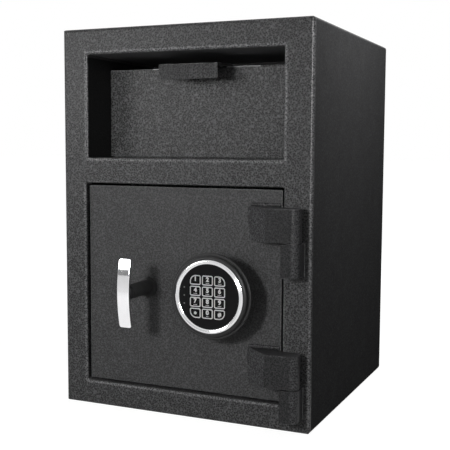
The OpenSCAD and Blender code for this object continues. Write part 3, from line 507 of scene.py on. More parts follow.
@dataclass(frozen=True)
class Sleeve(Finish):
    """Printed sleeve of a dry cell, a plain dark part and a plain bright part, with metal ends."""

    start: float = 0.0
    end: float = 0.0
    dark: Colour = (0.02, 0.02, 0.022)
    cap: Colour = (0.7, 0.7, 0.7)
    dark_share: float = 0.35
    cap_length: float = 0.6 * MM

    def pattern(self, surface: Surface) -> dict[str, Any]:
        """Bands along the cell."""
        along = surface.axis("X")
        split = self.start + self.dark_share * (self.end - self.start)
        band = surface.blend(along.above(split), self.dark, self.colour)
        metal = along.above(self.end - self.cap_length) + (1 - along.above(self.start + self.cap_length))
        return {"Base Color": surface.blend(metal, band, self.cap), "Metallic": metal}


COAT = PowderCoat("cabinet_coat", "cabinet_paint", (0.058, 0.058, 0.059), 0.42, specular=0.12)
# Painted shade: the sides and back get a darker copy of the cabinet coat.
SHADED_SIDE_COAT = PowderCoat(
    "shaded_side_coat", "cabinet_paint", (0.050, 0.050, 0.051), 0.6, specular=0.0,
    grain=2.0 * MM, relief=0.06 * MM, relief_shading=0.5,
)
DOOR_COAT = PowderCoat(
    "door_coat", "door_paint", (0.059, 0.059, 0.060), 0.5, specular=0.12,
    grain=1.9 * MM, relief=0.12 * MM, relief_shading=1.2,
)
HINGE_COAT = PowderCoat(
    "hinge_coat", "door_paint", (0.026, 0.026, 0.027), 0.34, specular=0.13,
    grain=2.0 * MM, relief=0.04 * MM, relief_shading=1.8,
)
TAB_COAT = PowderCoat(
    "tab_coat", "door_paint", (0.058, 0.058, 0.059), 0.5, specular=0.05,
    grain=2.4 * MM, relief=0.14 * MM, relief_shading=1.6,
)
# Painted shade: the liner inside the recess is darker than the front coat.
LINER_COAT = LinerCoat(
    "liner_coat", "cabinet_paint", (0.029, 0.029, 0.0295), 0.5, specular=0.05,
    grain=1.8 * MM, relief=0.03 * MM, relief_shading=0.5,
)
INNER_COAT = PowderCoat(
    "inner_coat", "inner_paint", (0.036, 0.036, 0.037), 0.6, specular=0.08,
    grain=1.0 * MM, relief=0.08 * MM, relief_shading=0.2,
)
CHROME = Metal(
    "bright_chrome", "chrome", (0.66, 0.66, 0.67), 0.10,
    cloud_share=0.04, gloss_share=0.01, relief=0.001 * MM,
)
SATIN_CHROME = Metal(
    "satin_chrome", "chrome", (0.78, 0.78, 0.79), 0.06,
    cloud_share=0.10, gloss_share=0.01, relief=0.001 * MM,
)
ZINC = Metal("zinc_plate", "zinc_plate", (0.56, 0.56, 0.55), 0.38, cloud=5 * MM, cloud_share=0.3)
DULL_STEEL = Metal("dull_steel", "zinc_plate", (0.11, 0.11, 0.11), 0.55, cloud_share=0.4)
# Steel darker than the zinc parts, for the hinge washers.
DARK_STEEL = Metal("dark_washer_steel", "zinc_plate", (0.06, 0.06, 0.06), 0.5, cloud_share=0.3)
GROUND_STEEL = Metal(
    "ground_steel", "polished_steel", (0.70, 0.71, 0.72), 0.22, draw=(0.05, 1.0, 1.0)
)
BLACK_PLASTIC = Moulded("black_plastic", "black_plastic", (0.014, 0.014, 0.0145), 0.5, specular=0.06)
# Painted light: the housing's black plastic is paler than the other black plastic.
HOUSING_LIT_BLACK = Moulded("housing_lit_black", "black_plastic", (0.034, 0.034, 0.0345), 0.42, specular=0.14)
# Painted light: the neck's black plastic is made much paler than the other black plastic.
NECK_LIT_PLASTIC = Moulded("neck_lit_plastic", "black_plastic", (0.090, 0.090, 0.091), 0.6, specular=0.02)
FACE_GLOSS = Moulded(
    "face_gloss", "gloss_face", (0.009, 0.009, 0.0095), 0.2, specular=0.05,
    relief=0.004 * MM, marks=0.12,
)
KEY_GLOSS = Moulded(
    "key_gloss", "key_plastic", (0.005, 0.005, 0.0055), 0.25, specular=0.1, relief=0.01 * MM
)
INK = Moulded("white_ink", "key_plastic", (0.58, 0.58, 0.575), 0.5, relief=0.005 * MM)
LAMP_LENS = Moulded("lamp_lens", "lamp_lens", (0.12, 0.12, 0.12), 0.25, relief=0.01 * MM)
RUBBER = Moulded("black_rubber", "rubber", (0.014, 0.014, 0.014), 0.75, relief=0.05 * MM)
CABLE_SKIN = Moulded("cable_skin", "rubber", (0.02, 0.02, 0.02), 0.55, relief=0.02 * MM)
GREY_PLASTIC = Moulded("grey_plastic", "grey_plastic", (0.25, 0.25, 0.25), 0.5)
RED_PLASTIC = Moulded("red_plastic", "red_plastic", (0.50, 0.02, 0.015), 0.3, relief=0.01 * MM)
COPPER = Metal("copper_wire", "copper_wire", (0.48, 0.20, 0.08), 0.35)
PILE = Carpet("grey_pile", "carpet", (0.055, 0.055, 0.060), 0.9, specular=0.1)


# Meshes


def add_piece(name: str, mesh: Mesh, finish: Finish, body: str) -> Piece:
    """Puts a finished mesh in the scene.

    Args:
        name: The piece's name.
        mesh: Its mesh, in place.
        finish: Its finish.
        body: The body that it rides.

    Returns:
        The object.
    """
    mesh.materials.clear()
    mesh.materials.append(finish.material())
    piece = placed(name, mesh)
    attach(piece, body)
    log.info("%s: %d faces, on %s", name, len(mesh.polygons), body)
    return piece


def to_mesh(work: Work, name: str, crease: float = 35.0) -> Mesh:
    """Turns working geometry into a mesh with smooth faces and sharp creases.

    Args:
        work: The geometry, which is freed.
        name: The mesh's name.
        crease: Angle in degrees past which an edge is sharp.

    Returns:
        The mesh.
    """
    bmesh.ops.recalc_face_normals(work, faces=work.faces)
    mesh = bpy.data.meshes.new(name)
    work.to_mesh(mesh)
    work.free()
    mesh.shade_smooth()
    mesh.set_sharp_from_angle(angle=math.radians(crease))
    return mesh


def placed(name: str, data: bpy.types.ID) -> Piece:
    """A new object in the scene."""
    made = bpy.data.objects.new(name, data)
    bpy.context.scene.collection.objects.link(made)
    return made


def baked(name: str, data: bpy.types.ID, recipe: "Recipe | None" = None) -> Mesh:
    """A plain mesh of a curve, a text or another mesh.

    Args:
        name: Name of the object that is there while the mesh is made.
        data: What it shows.
        recipe: The Geometry Nodes that it goes through.

    Returns:
        The mesh.
    """
    worker = placed(name, data)
    if recipe:
        modifier = worker.modifiers.new("recipe", "NODES")
        modifier.node_group = recipe.nodes
        for size, value in recipe.sizes.items():
            modifier[recipe.keys[size]] = value
    bpy.context.view_layer.update()
    graph = bpy.context.evaluated_depsgraph_get()
    mesh = bpy.data.meshes.new_from_object(worker.evaluated_get(graph))
    worker.modifiers.clear()
    bpy.data.objects.remove(worker)
    return mesh


def arc(centre: Pair, radius: float, start: float, steps: int = 8) -> list[Pair]:
    """Points of a quarter circle with both ends, from a start that is given in quarter turns."""
    turns = [QUARTER * (start + i / steps) for i in range(steps + 1)]
    return [(centre[0] + radius * math.cos(a), centre[1] + radius * math.sin(a)) for a in turns]


def add_spline(curve: bpy.types.Curve, points: Iterable[Sequence[float]], closed: bool) -> None:
    """Adds straight runs between points to a curve.

    Args:
        curve: The curve.
        points: The points, as (x, y, z).
        closed: Whether they go round.
    """
    points = [coordinate for point in points for coordinate in (*point, 1)]
    spline = curve.splines.new("POLY")
    spline.points.add(len(points) // 4 - 1)
    spline.points.foreach_set("co", points)
    spline.use_cyclic_u = closed


def polyline(name: str, runs: Iterable[Sequence[Vector]]) -> Mesh:
    """A mesh of edges along rows of points."""
    points: list[Vector] = []
    edges: list[tuple[int, int]] = []
    for run in runs:
        first = len(points)
        points += run
        edges += [(i, i + 1) for i in range(first, len(points) - 1)]
    mesh = bpy.data.meshes.new(name)
    mesh.from_pydata(points, edges, [])
    return mesh


class Recipe(Tree):
    """A Geometry Nodes tree with named sizes, run on a helper and turned into a plain mesh."""

    def __init__(self, name: str, sizes: dict[str, float], finish: Finish) -> None:
        """Starts the tree.

        Args:
            name: The tree's name.
            sizes: Named inputs with their values.
            finish: What the result is made of.
        """
        group = bpy.data.node_groups.new(name, "GeometryNodeTree")
        super().__init__(group)
        self.sizes = sizes
        self.finish = finish
        face = group.interface
        face.new_socket("Geometry", in_out="INPUT", socket_type="NodeSocketGeometry")
        self.keys = {
            size: face.new_socket(size, in_out="INPUT", socket_type="NodeSocketFloat").identifier
            for size in sizes
        }
        face.new_socket("Geometry", in_out="OUTPUT", socket_type="NodeSocketGeometry")
        self.given = self.node("NodeGroupInput")

    def size(self, name: str) -> Value:
        """One of the named inputs."""
        return Value(self, self.given.outputs[name])

    def set_on_points(self, **inputs: Any) -> None:
        """Ends the tree with one shape set on many points."""
        self.end(self.node("GeometryNodeInstanceOnPoints", inputs=inputs).outputs[0])

    def end(self, geometry: Socket) -> None:
        """Ends the tree: real geometry, with its material."""
        real = self.node("GeometryNodeRealizeInstances", inputs={0: geometry})
        inputs = {"Geometry": real.outputs[0], "Material": self.finish.material()}
        painted = self.node("GeometryNodeSetMaterial", inputs=inputs)
        self.node("NodeGroupOutput", inputs={0: painted.outputs[0]})

    def run(self, source: Mesh) -> Mesh:
        """A plain mesh with smooth faces, made of another one."""
        mesh = baked(f"{self.nodes.name}_helper", source, self)
        mesh.shade_smooth()
        return mesh


class BeadRecipe(Recipe):
    """A weld bead: overlapping flat drops set one after another along a path."""

    spread = (0.85, 1.1)
    seed = 4

    def __init__(self, finish: Finish, radius: float, pitch: float) -> None:
        """Builds the tree.

        Args:
            finish: What covers the bead.
            radius: Half its width.
            pitch: Distance from drop to drop.
        """
        super().__init__("weld_bead", {"Radius": radius, "Pitch": pitch}, finish)
        curve = self.node("GeometryNodeMeshToCurve", inputs={0: self.given.outputs["Geometry"]})
        points = self.node(
            "GeometryNodeCurveToPoints",
            {"mode": "LENGTH"},
            {"Curve": curve.outputs[0], "Length": self.size("Pitch")},
        ).outputs
        smallest, largest = self.spread
        limits = {2: smallest, 3: largest, "Seed": self.seed}
        wobble = self.node("FunctionNodeRandomValue", {"data_type": "FLOAT"}, limits)
        radius_here = self.size("Radius") * Value(self, wobble.outputs[1])
        drop = self.node("GeometryNodeMeshIcoSphere", inputs={"Radius": 1.0, "Subdivisions": 2})
        scale = self.node("ShaderNodeCombineXYZ", inputs=dict.fromkeys(range(3), radius_here))
        self.set_on_points(
            Points=points["Points"], Instance=drop.outputs[0],
            Rotation=points["Rotation"], Scale=scale.outputs[0],
        )


class WindingRecipe(Recipe):
    """One layer of wire wound round the Z axis, turn beside turn."""

    def __init__(self, finish: Finish, radius: float, height: float, wire: float) -> None:
        """Builds the tree.

        Args:
            finish: The wire's finish.
            radius: Radius of its centre line.
            height: Height of the layer.
            wire: Diameter of the wire.
        """
        sizes = {"Radius": radius, "Height": height, "Wire radius": wire / 2}
        super().__init__("coil_winding", sizes, finish)
        spiral = self.node("GeometryNodeCurveSpiral", inputs={
            "Resolution": 24, "Rotations": height / wire, "Height": self.size("Height"),
            "Start Radius": self.size("Radius"), "End Radius": self.size("Radius"),
        })
        section = self.node(
            "GeometryNodeCurvePrimitiveCircle",
            {"mode": "RADIUS"},
            {"Resolution": 6, "Radius": self.size("Wire radius")},
        )
        wire_mesh = self.node("GeometryNodeCurveToMesh", inputs={
            "Curve": spiral.outputs[0], "Profile Curve": section.outputs[0], "Fill Caps": True,
        })
        self.end(wire_mesh.outputs[0])


class PileRecipe(Recipe):
    """Short tufts scattered over the upper side of a mat."""

    upright = 0.9
    foot = 0.6 * MM
    lean = ((-0.5, -0.5, 0.0), (0.5, 0.5, 3.0))
    seeds = (7, 11)

    def __init__(self, finish: Finish, density: float, height: float) -> None:
        """Builds the tree.

        Args:
            finish: The pile's finish.
            density: Tufts to the square metre.
            height: Height of a tuft.
        """
        super().__init__("mat_pile", {"Density": density, "Tuft height": height}, finish)
        normal = self.node("GeometryNodeInputNormal")
        upward = self.part(normal.outputs[0], "Z").above(self.upright)
        points = self.node("GeometryNodeDistributePointsOnFaces", {"distribute_method": "RANDOM"}, {
            "Mesh": self.given.outputs["Geometry"], "Selection": upward,
            "Density": self.size("Density"), "Seed": self.seeds[0],
        })
        tuft = self.node("GeometryNodeMeshCone", {"fill_type": "NONE"}, {
            "Vertices": 4, "Side Segments": 1, "Radius Top": 0.0,
            "Radius Bottom": self.foot, "Depth": self.size("Tuft height"),
        })
        limits = {0: self.lean[0], 1: self.lean[1], "Seed": self.seeds[1]}
        lean = self.node("FunctionNodeRandomValue", {"data_type": "FLOAT_VECTOR"}, limits)
        self.set_on_points(
            Points=points.outputs["Points"], Instance=tuft.outputs["Mesh"], Rotation=lean.outputs[0]
        )


# Sub-assemblies


class Assembly:
    """A group of CAD nodes that keep their shape, with the pieces that are made for them."""

    finishes: dict[str, Finish] = {}

    def dress(self) -> None:
        """Gives each CAD node its finish."""
        for node, finish in self.finishes.items():
            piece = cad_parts[node]
            piece.data.materials.clear()
            piece.data.materials.append(finish.material())
            log.info("%s: %s", node, finish.name)

    def build(self) -> None:
        """Makes the assembly's own pieces."""


@dataclass
class FloorMat:
    """Carpet mat over the floor, with a hole over each anchor."""

    hole_radius: float = 15 * MM
    hole_pitch: float = 240 * MM
    rim: float = 0.6 * MM
    density: float = 45000.0
    tuft: float = 1.6 * MM

    def outline(self) -> bpy.types.Curve:
        """The flat cut with its holes, filled and thickened to the mat, around its own middle."""
        low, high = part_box("floor_mat")
        flat = bpy.data.curves.new("mat_outline", "CURVE")
        flat.dimensions, flat.fill_mode = "2D", "BOTH"
        thick = high.z - low.z
        flat.extrude, flat.bevel_depth, flat.bevel_resolution = thick / 2 - self.rim, self.rim, 1
        x, y = (high.x - low.x) / 2 - self.rim, (high.y - low.y) / 2 - self.rim
        add_spline(flat, [(-x, -y, 0), (x, -y, 0), (x, y, 0), (-x, y, 0)], True)
        shift, radius = (low.y + high.y) / 2, self.hole_radius + self.rim
        for sx in (-1, 1):
            for sy in (-1, 1):
                centre = (sx * self.hole_pitch / 2, sy * self.hole_pitch / 2 - shift)
                ring = [point for quarter in range(4) for point in arc(centre, radius, quarter)[:-1]]
                add_spline(flat, [(px, py, 0) for px, py in ring], True)
        return flat

    def build(self) -> None:
        """Makes the mat and its pile."""
        low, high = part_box("floor_mat")
        mesh = baked("mat_helper", self.outline())
        mesh.transform(Matrix.Translation((low + high) / 2))
        pile = PileRecipe(PILE, self.density, self.tuft).run(mesh.copy())
        mat = add_piece("carpet_mat", mesh, PILE, "cabinet")
        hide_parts("floor_mat")
        tufts = add_piece("carpet_pile", pile, PILE, "cabinet")


@dataclass
class Cabinet(Assembly):
    """Welded shell, its liner and what is fixed in it."""

    finishes = {
        "cabinet_wrap": SHADED_SIDE_COAT,
        "front_frame": FrameCoat(
            "frame_coat", "cabinet_paint", COAT.colour, COAT.roughness, specular=COAT.specular,
            half_width=140 * MM, low=339 * MM, high=476 * MM,
        ),
        "back_panel": SHADED_SIDE_COAT,
        "recess_liner": LINER_COAT,
        "anti_fishing_baffle": INNER_COAT,
        "hopper_stop_buffers": RUBBER,
        "hopper_rest_bar": ZINC,
        "trunnion_bearings": ZINC,
        "door_stops": COAT,
    }

    def build(self) -> None:
        """Makes the mat."""
        FloorMat().build()


@dataclass
class Hopper(Assembly):
    """Swinging panel with its tab, tray and cheeks."""

    finishes = {
        # Painted light: the panel's coat is paler than the front coat.
        "hopper_panel": RubbedCoat(
            "lit_panel_coat", "cabinet_paint", (0.065, 0.065, 0.066), COAT.roughness, specular=COAT.specular,
            level=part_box("hopper_panel")[1].z, front=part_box("hopper_panel")[0].y,
            runs=((-72 * MM, -40 * MM), (38 * MM, 86 * MM)),
        ),
        "hopper_pull_tab": TAB_COAT,
        "tab_rivets": ZINC,
        "hopper_tray": COAT,
        "hopper_cheeks": COAT,
        "hopper_trunnions": ZINC,
    }


@dataclass
class Hinges(Assembly):
    """Leaves on the door, knuckles on the frame, their pins and weld beads."""

    leaf_height: float = 42 * MM
    leaf_root: float = 4 * MM
    knuckle_height: float = 41 * MM
    foot_start: float = 5 * MM
    leaf_bead: float = 2.8 * MM
    bead_gap: float = 2.2 * MM
    knuckle_bead: float = 1.4 * MM
    bead_turn: float = 5 * MM
    bead_angles: tuple[float, ...] = (1.2, 0.8, 0.4, 0.0)
    finishes = {
        "body_hinge_knuckles": HINGE_COAT,
        "hinge_pins": GROUND_STEEL,
        "hinge_washers": DARK_STEEL,
        "door_hinge_leaves": HINGE_COAT,
    }

    def leaf_paths(self) -> list[list[Vector]]:
        """Where each leaf is welded to the door: along its top and round to its tip."""
        low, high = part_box("door_hinge_leaves")
        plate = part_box("door_plate")
        root = plate[1].x - self.leaf_root
        face = plate[0].y
        paths = []
        turn = self.bead_turn
        for z in (low.z, high.z - self.leaf_height):
            top = z + self.leaf_height + self.bead_gap
            bend = [(turn * (1 - math.cos(a)), turn * (1 - math.sin(a))) for a in self.bead_angles]
            corners = [(root, top)] + [(low.x + x, top - down) for x, down in bend]
            corners.append((low.x, z + self.leaf_height / 2))
            paths.append([Vector((x, face, level)) for x, level in corners])
        return paths

    def knuckle_paths(self) -> list[list[Vector]]:
        """Where each knuckle meets the frame: its top, its outer side and its foot."""
        low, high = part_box("body_hinge_knuckles")
        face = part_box("front_frame")[0].y
        start = low.x + self.foot_start
        paths = []
        for z in (low.z, high.z - self.knuckle_height):
            top = z + self.knuckle_height
            corners = [(start, top), (high.x, top), (high.x, z), (start, z)]
            paths.append([Vector((x, face, level)) for x, level in corners])
        return paths

    def build(self) -> None:
        """Lays the weld beads."""
        for name, paths, radius, body in (
            ("leaf_weld_beads", self.leaf_paths(), self.leaf_bead, "door"),
            ("knuckle_weld_beads", self.knuckle_paths(), self.knuckle_bead, "cabinet"),
        ):
            beads = BeadRecipe(HINGE_COAT, radius, radius / 2).run(polyline(name, paths))
            add_piece(name, beads, HINGE_COAT, body)


@dataclass
class Door(Assembly):
    """Door plate, what locks it, and the cover behind it."""

    cable_bend: float = 8 * MM
    cable_steps: tuple[int, int, int] = (6, 12, 8)
    wire: float = 0.9 * MM
    flange: float = 1.5 * MM
    bore_floor: float = 4 * MM
    bore_inset: float = 1.9 * MM
    core_inset: float = 1.6
    wire_inset: float = 0.6
    finishes = {
        "door_plate": DOOR_COAT,
        "dead_bar": DULL_STEEL,
        "bolt_guide": ZINC,
        "carriage_studs": ZINC,
        "bolt_carriage": ZINC,
        "live_bolts": GROUND_STEEL,
        "bolt_cover": INNER_COAT,
        "cover_screws": ZINC,
        "control_board": Board(
            "lacquered_board", "board_green", (0.015, 0.12, 0.055),
            front=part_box("control_board")[0].y + 4.8 * MM,
        ),
        "cable_grommet": RUBBER,
        "battery_box": BLACK_PLASTIC,
        "batteries": Sleeve(
            "cell_sleeve", "battery_sleeve", (0.45, 0.28, 0.06), 0.3,
            start=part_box("batteries")[0].x + 1.5 * MM, end=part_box("batteries")[1].x - 1.5 * MM,
        ),
        "battery_lid": BLACK_PLASTIC,
        "solenoid_frame": ZINC,
        "solenoid_plunger": GROUND_STEEL,
        "reset_button": RED_PLASTIC,
    }

    def cable_path(self) -> list[Vector]:
        """The keypad cable's centre line: straight back, round a bend and down to its plug."""
        low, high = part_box("keypad_cable")
        radius = (high.x - low.x) / 2
        x, top, back = (low.x + high.x) / 2, high.z - radius, high.y - radius
        turn = back - self.cable_bend
        level, bent, upright = self.cable_steps
        path = [Vector((x, low.y + (turn - low.y) * i / level, top)) for i in range(level)]
        bend = arc((top - self.cable_bend, turn), self.cable_bend, 0, bent)
        path += [Vector((x, y, z)) for z, y in bend]
        foot = path[-1].z
        drop = low.z - foot
        path += [Vector((x, back, foot + drop * i / upright)) for i in range(1, upright + 1)]
        return path

    def build_cable(self) -> None:
        """Makes the cable between the keypad and the board."""
        low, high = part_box("keypad_cable")
        path = self.cable_path()
        line = bpy.data.curves.new("cable_line", "CURVE")
        line.dimensions, line.use_fill_caps = "3D", True
        line.bevel_depth, line.bevel_resolution = (high.x - low.x) / 2, 3
        add_spline(line, path, False)
        mesh = baked("cable_helper", line)
        mesh.shade_smooth()
        cable = add_piece("keypad_lead", mesh, CABLE_SKIN, "door")
        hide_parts("keypad_cable")

    def build_coil(self) -> None:
        """Makes the coil of the solenoid as a bobbin with its wire."""
        low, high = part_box("solenoid_coil")
        centre = (low + high) / 2
        outer, wire, flange, floor = (high.x - low.x) / 2, self.wire, self.flange, self.bore_floor
        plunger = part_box("solenoid_plunger")
        bore = (plunger[1].x - plunger[0].x) / 2 - self.bore_inset
        core = outer - self.core_inset * wire
        height = high.z - low.z
        profile = [
            (bore, floor), (bore, height), (outer, height), (outer, height - flange),
            (core, height - flange), (core, flange), (outer, flange), (outer, 0.0), (0.0, 0.0),
            (0.0, floor),
        ]
        base = Vector((centre.x, centre.y, low.z))
        bobbin = add_piece("coil_bobbin", turned(profile, base), BLACK_PLASTIC, "door")
        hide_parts("solenoid_coil")
        radius, rise = outer - self.wire_inset * wire, height - 2 * flange - wire
        recipe = WindingRecipe(COPPER, radius, rise, wire)
        winding = recipe.run(polyline("coil_seed", [[Vector((0, 0, 0)), Vector((0, 0, MM))]]))
        winding.transform(Matrix.Translation(base + Vector((0, 0, flange + wire / 2))))
        add_piece("coil_winding", winding, COPPER, "door")

    def build(self) -> None:
        """Makes the cable and the coil."""
        self.build_cable()
        self.build_coil()


def turned(profile: Sequence[Pair], base: Vector, steps: int = 48) -> Mesh:
    """A piece turned about a vertical axis.

    Args:
        profile: Closed outline as (radius, height), from the axis or round it.
        base: Where the axis stands.
        steps: Facets round it.

    Returns:
        The mesh, in place.
    """
    work = bmesh.new()
    ring = [work.verts.new((base.x + r, base.y, base.z + z)) for r, z in profile]
    edges = [work.edges.new((a, b)) for a, b in zip(ring, ring[1:])]
    if profile[0][0] > 0:
        edges.append(work.edges.new((ring[-1], ring[0])))
    bmesh.ops.spin(
        work, geom=ring + edges, cent=base, axis=(0, 0, 1), angle=2 * math.pi, steps=steps,
        use_merge=True,
    )
    bmesh.ops.remove_doubles(work, verts=work.verts, dist=MERGE_DISTANCE)
    return to_mesh(work, "turned")


@dataclass
class Handle(Assembly):
    """Bow on its neck, with the spindle and the cam."""

    thickness: float = 4.8 * MM
    rise: float = 6 * MM
    corner: float = 3 * MM
    edge: float = 0.9 * MM
    stations: int = 40
    steps: int = 4
    flat_line: float = 0.3 * MM
    finishes = {"handle_neck": NECK_LIT_PLASTIC, "handle_spindle": ZINC, "spindle_cam": ZINC}

    def levels(self, half: float) -> list[float]:
        """Heights of the sections above the middle, closer together in the rounded ends.

        Args:
            half: Half the length of the bow.

        Returns:
            The heights, from the top down.
        """
        turn = [QUARTER * i / 8 for i in range(9)]
        ends = {half - radius * (1 - math.cos(a)) for radius in (self.edge, self.corner) for a in turn}
        upper = sorted(ends, reverse=True)
        straight = half - self.corner
        middle = [straight * (1 - 2 * i / self.stations) for i in range(1, self.stations)]
        return upper + middle + [-z for z in reversed(upper)]

    @staticmethod
    def drawn_in(radius: float, depth: float) -> float:
        """How far a round of a radius pulls a side in, at a depth from the end."""
        if depth >= radius:
            return 0.0
        return radius - math.sqrt(radius**2 - (radius - depth) ** 2)

    def section(self, half_width: float, front: float, back: float) -> list[Pair]:
        """A rounded rectangle.

        Args:
            half_width: Half its width.
            front: Its front.
            back: Its back.

        Returns:
            Points as (x, y) from the middle of its width, all the way round.
        """
        points = []
        corners = [(1, back, -1), (-1, back, -1), (-1, front, 1), (1, front, 1)]
        for quarter, (side, level, inward) in enumerate(corners):
            centre = (side * (half_width - self.edge), level + inward * self.edge)
            points += arc(centre, self.edge, quarter, self.steps)
            if quarter in (0, 2):
                flat = side * (half_width - self.edge - self.flat_line)
                points += [(flat, level), (-flat, level)]
        return points

    def build(self) -> None:
        """Makes the bow: a bent flat bar with rounded corners and softened edges."""
        low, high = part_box("handle_bow")
        centre = (low + high) / 2
        half, half_width = (high.z - low.z) / 2, (high.x - low.x) / 2
        radius = (half**2 + self.rise**2) / (2 * self.rise)
        work = bmesh.new()
        rows = []
        for z in self.levels(half):
            depth = half - abs(z)
            width = half_width - self.drawn_in(self.corner, depth)
            thin = self.drawn_in(self.edge, depth)
            front = low.y + radius - math.sqrt(radius**2 - z**2) + thin
            inner = radius - self.thickness
            back = low.y + radius - math.sqrt(inner**2 - z**2) - thin
            row = self.section(width, front, back)
            rows.append([work.verts.new((centre.x + x, y, centre.z + z)) for x, y in row])
        for above, below in zip(rows, rows[1:]):
            for i, vertex in enumerate(above):
                j = (i + 1) % len(above)
                work.faces.new((vertex, above[j], below[j], below[i]))
        work.faces.new(rows[0])
        work.faces.new(list(reversed(rows[-1])))
        bow = add_piece("bow_grip", to_mesh(work, "bow_grip", 50), SATIN_CHROME, "handle")
        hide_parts("handle_bow")


class Corner(Enum):
    """The four corners of a key, seen from the front: to the right, and up."""

    UPPER_RIGHT = (1, 1)
    UPPER_LEFT = (-1, 1)
    LOWER_LEFT = (-1, -1)
    LOWER_RIGHT = (1, -1)


@dataclass(frozen=True)
class Key:
    """One key: its node, its sign, the bars under that, its cut corner, and the sign's scale."""

    node: str
    sign: str
    bars: int = 3
    cut: Corner | None = None
    scale: float = 1.0


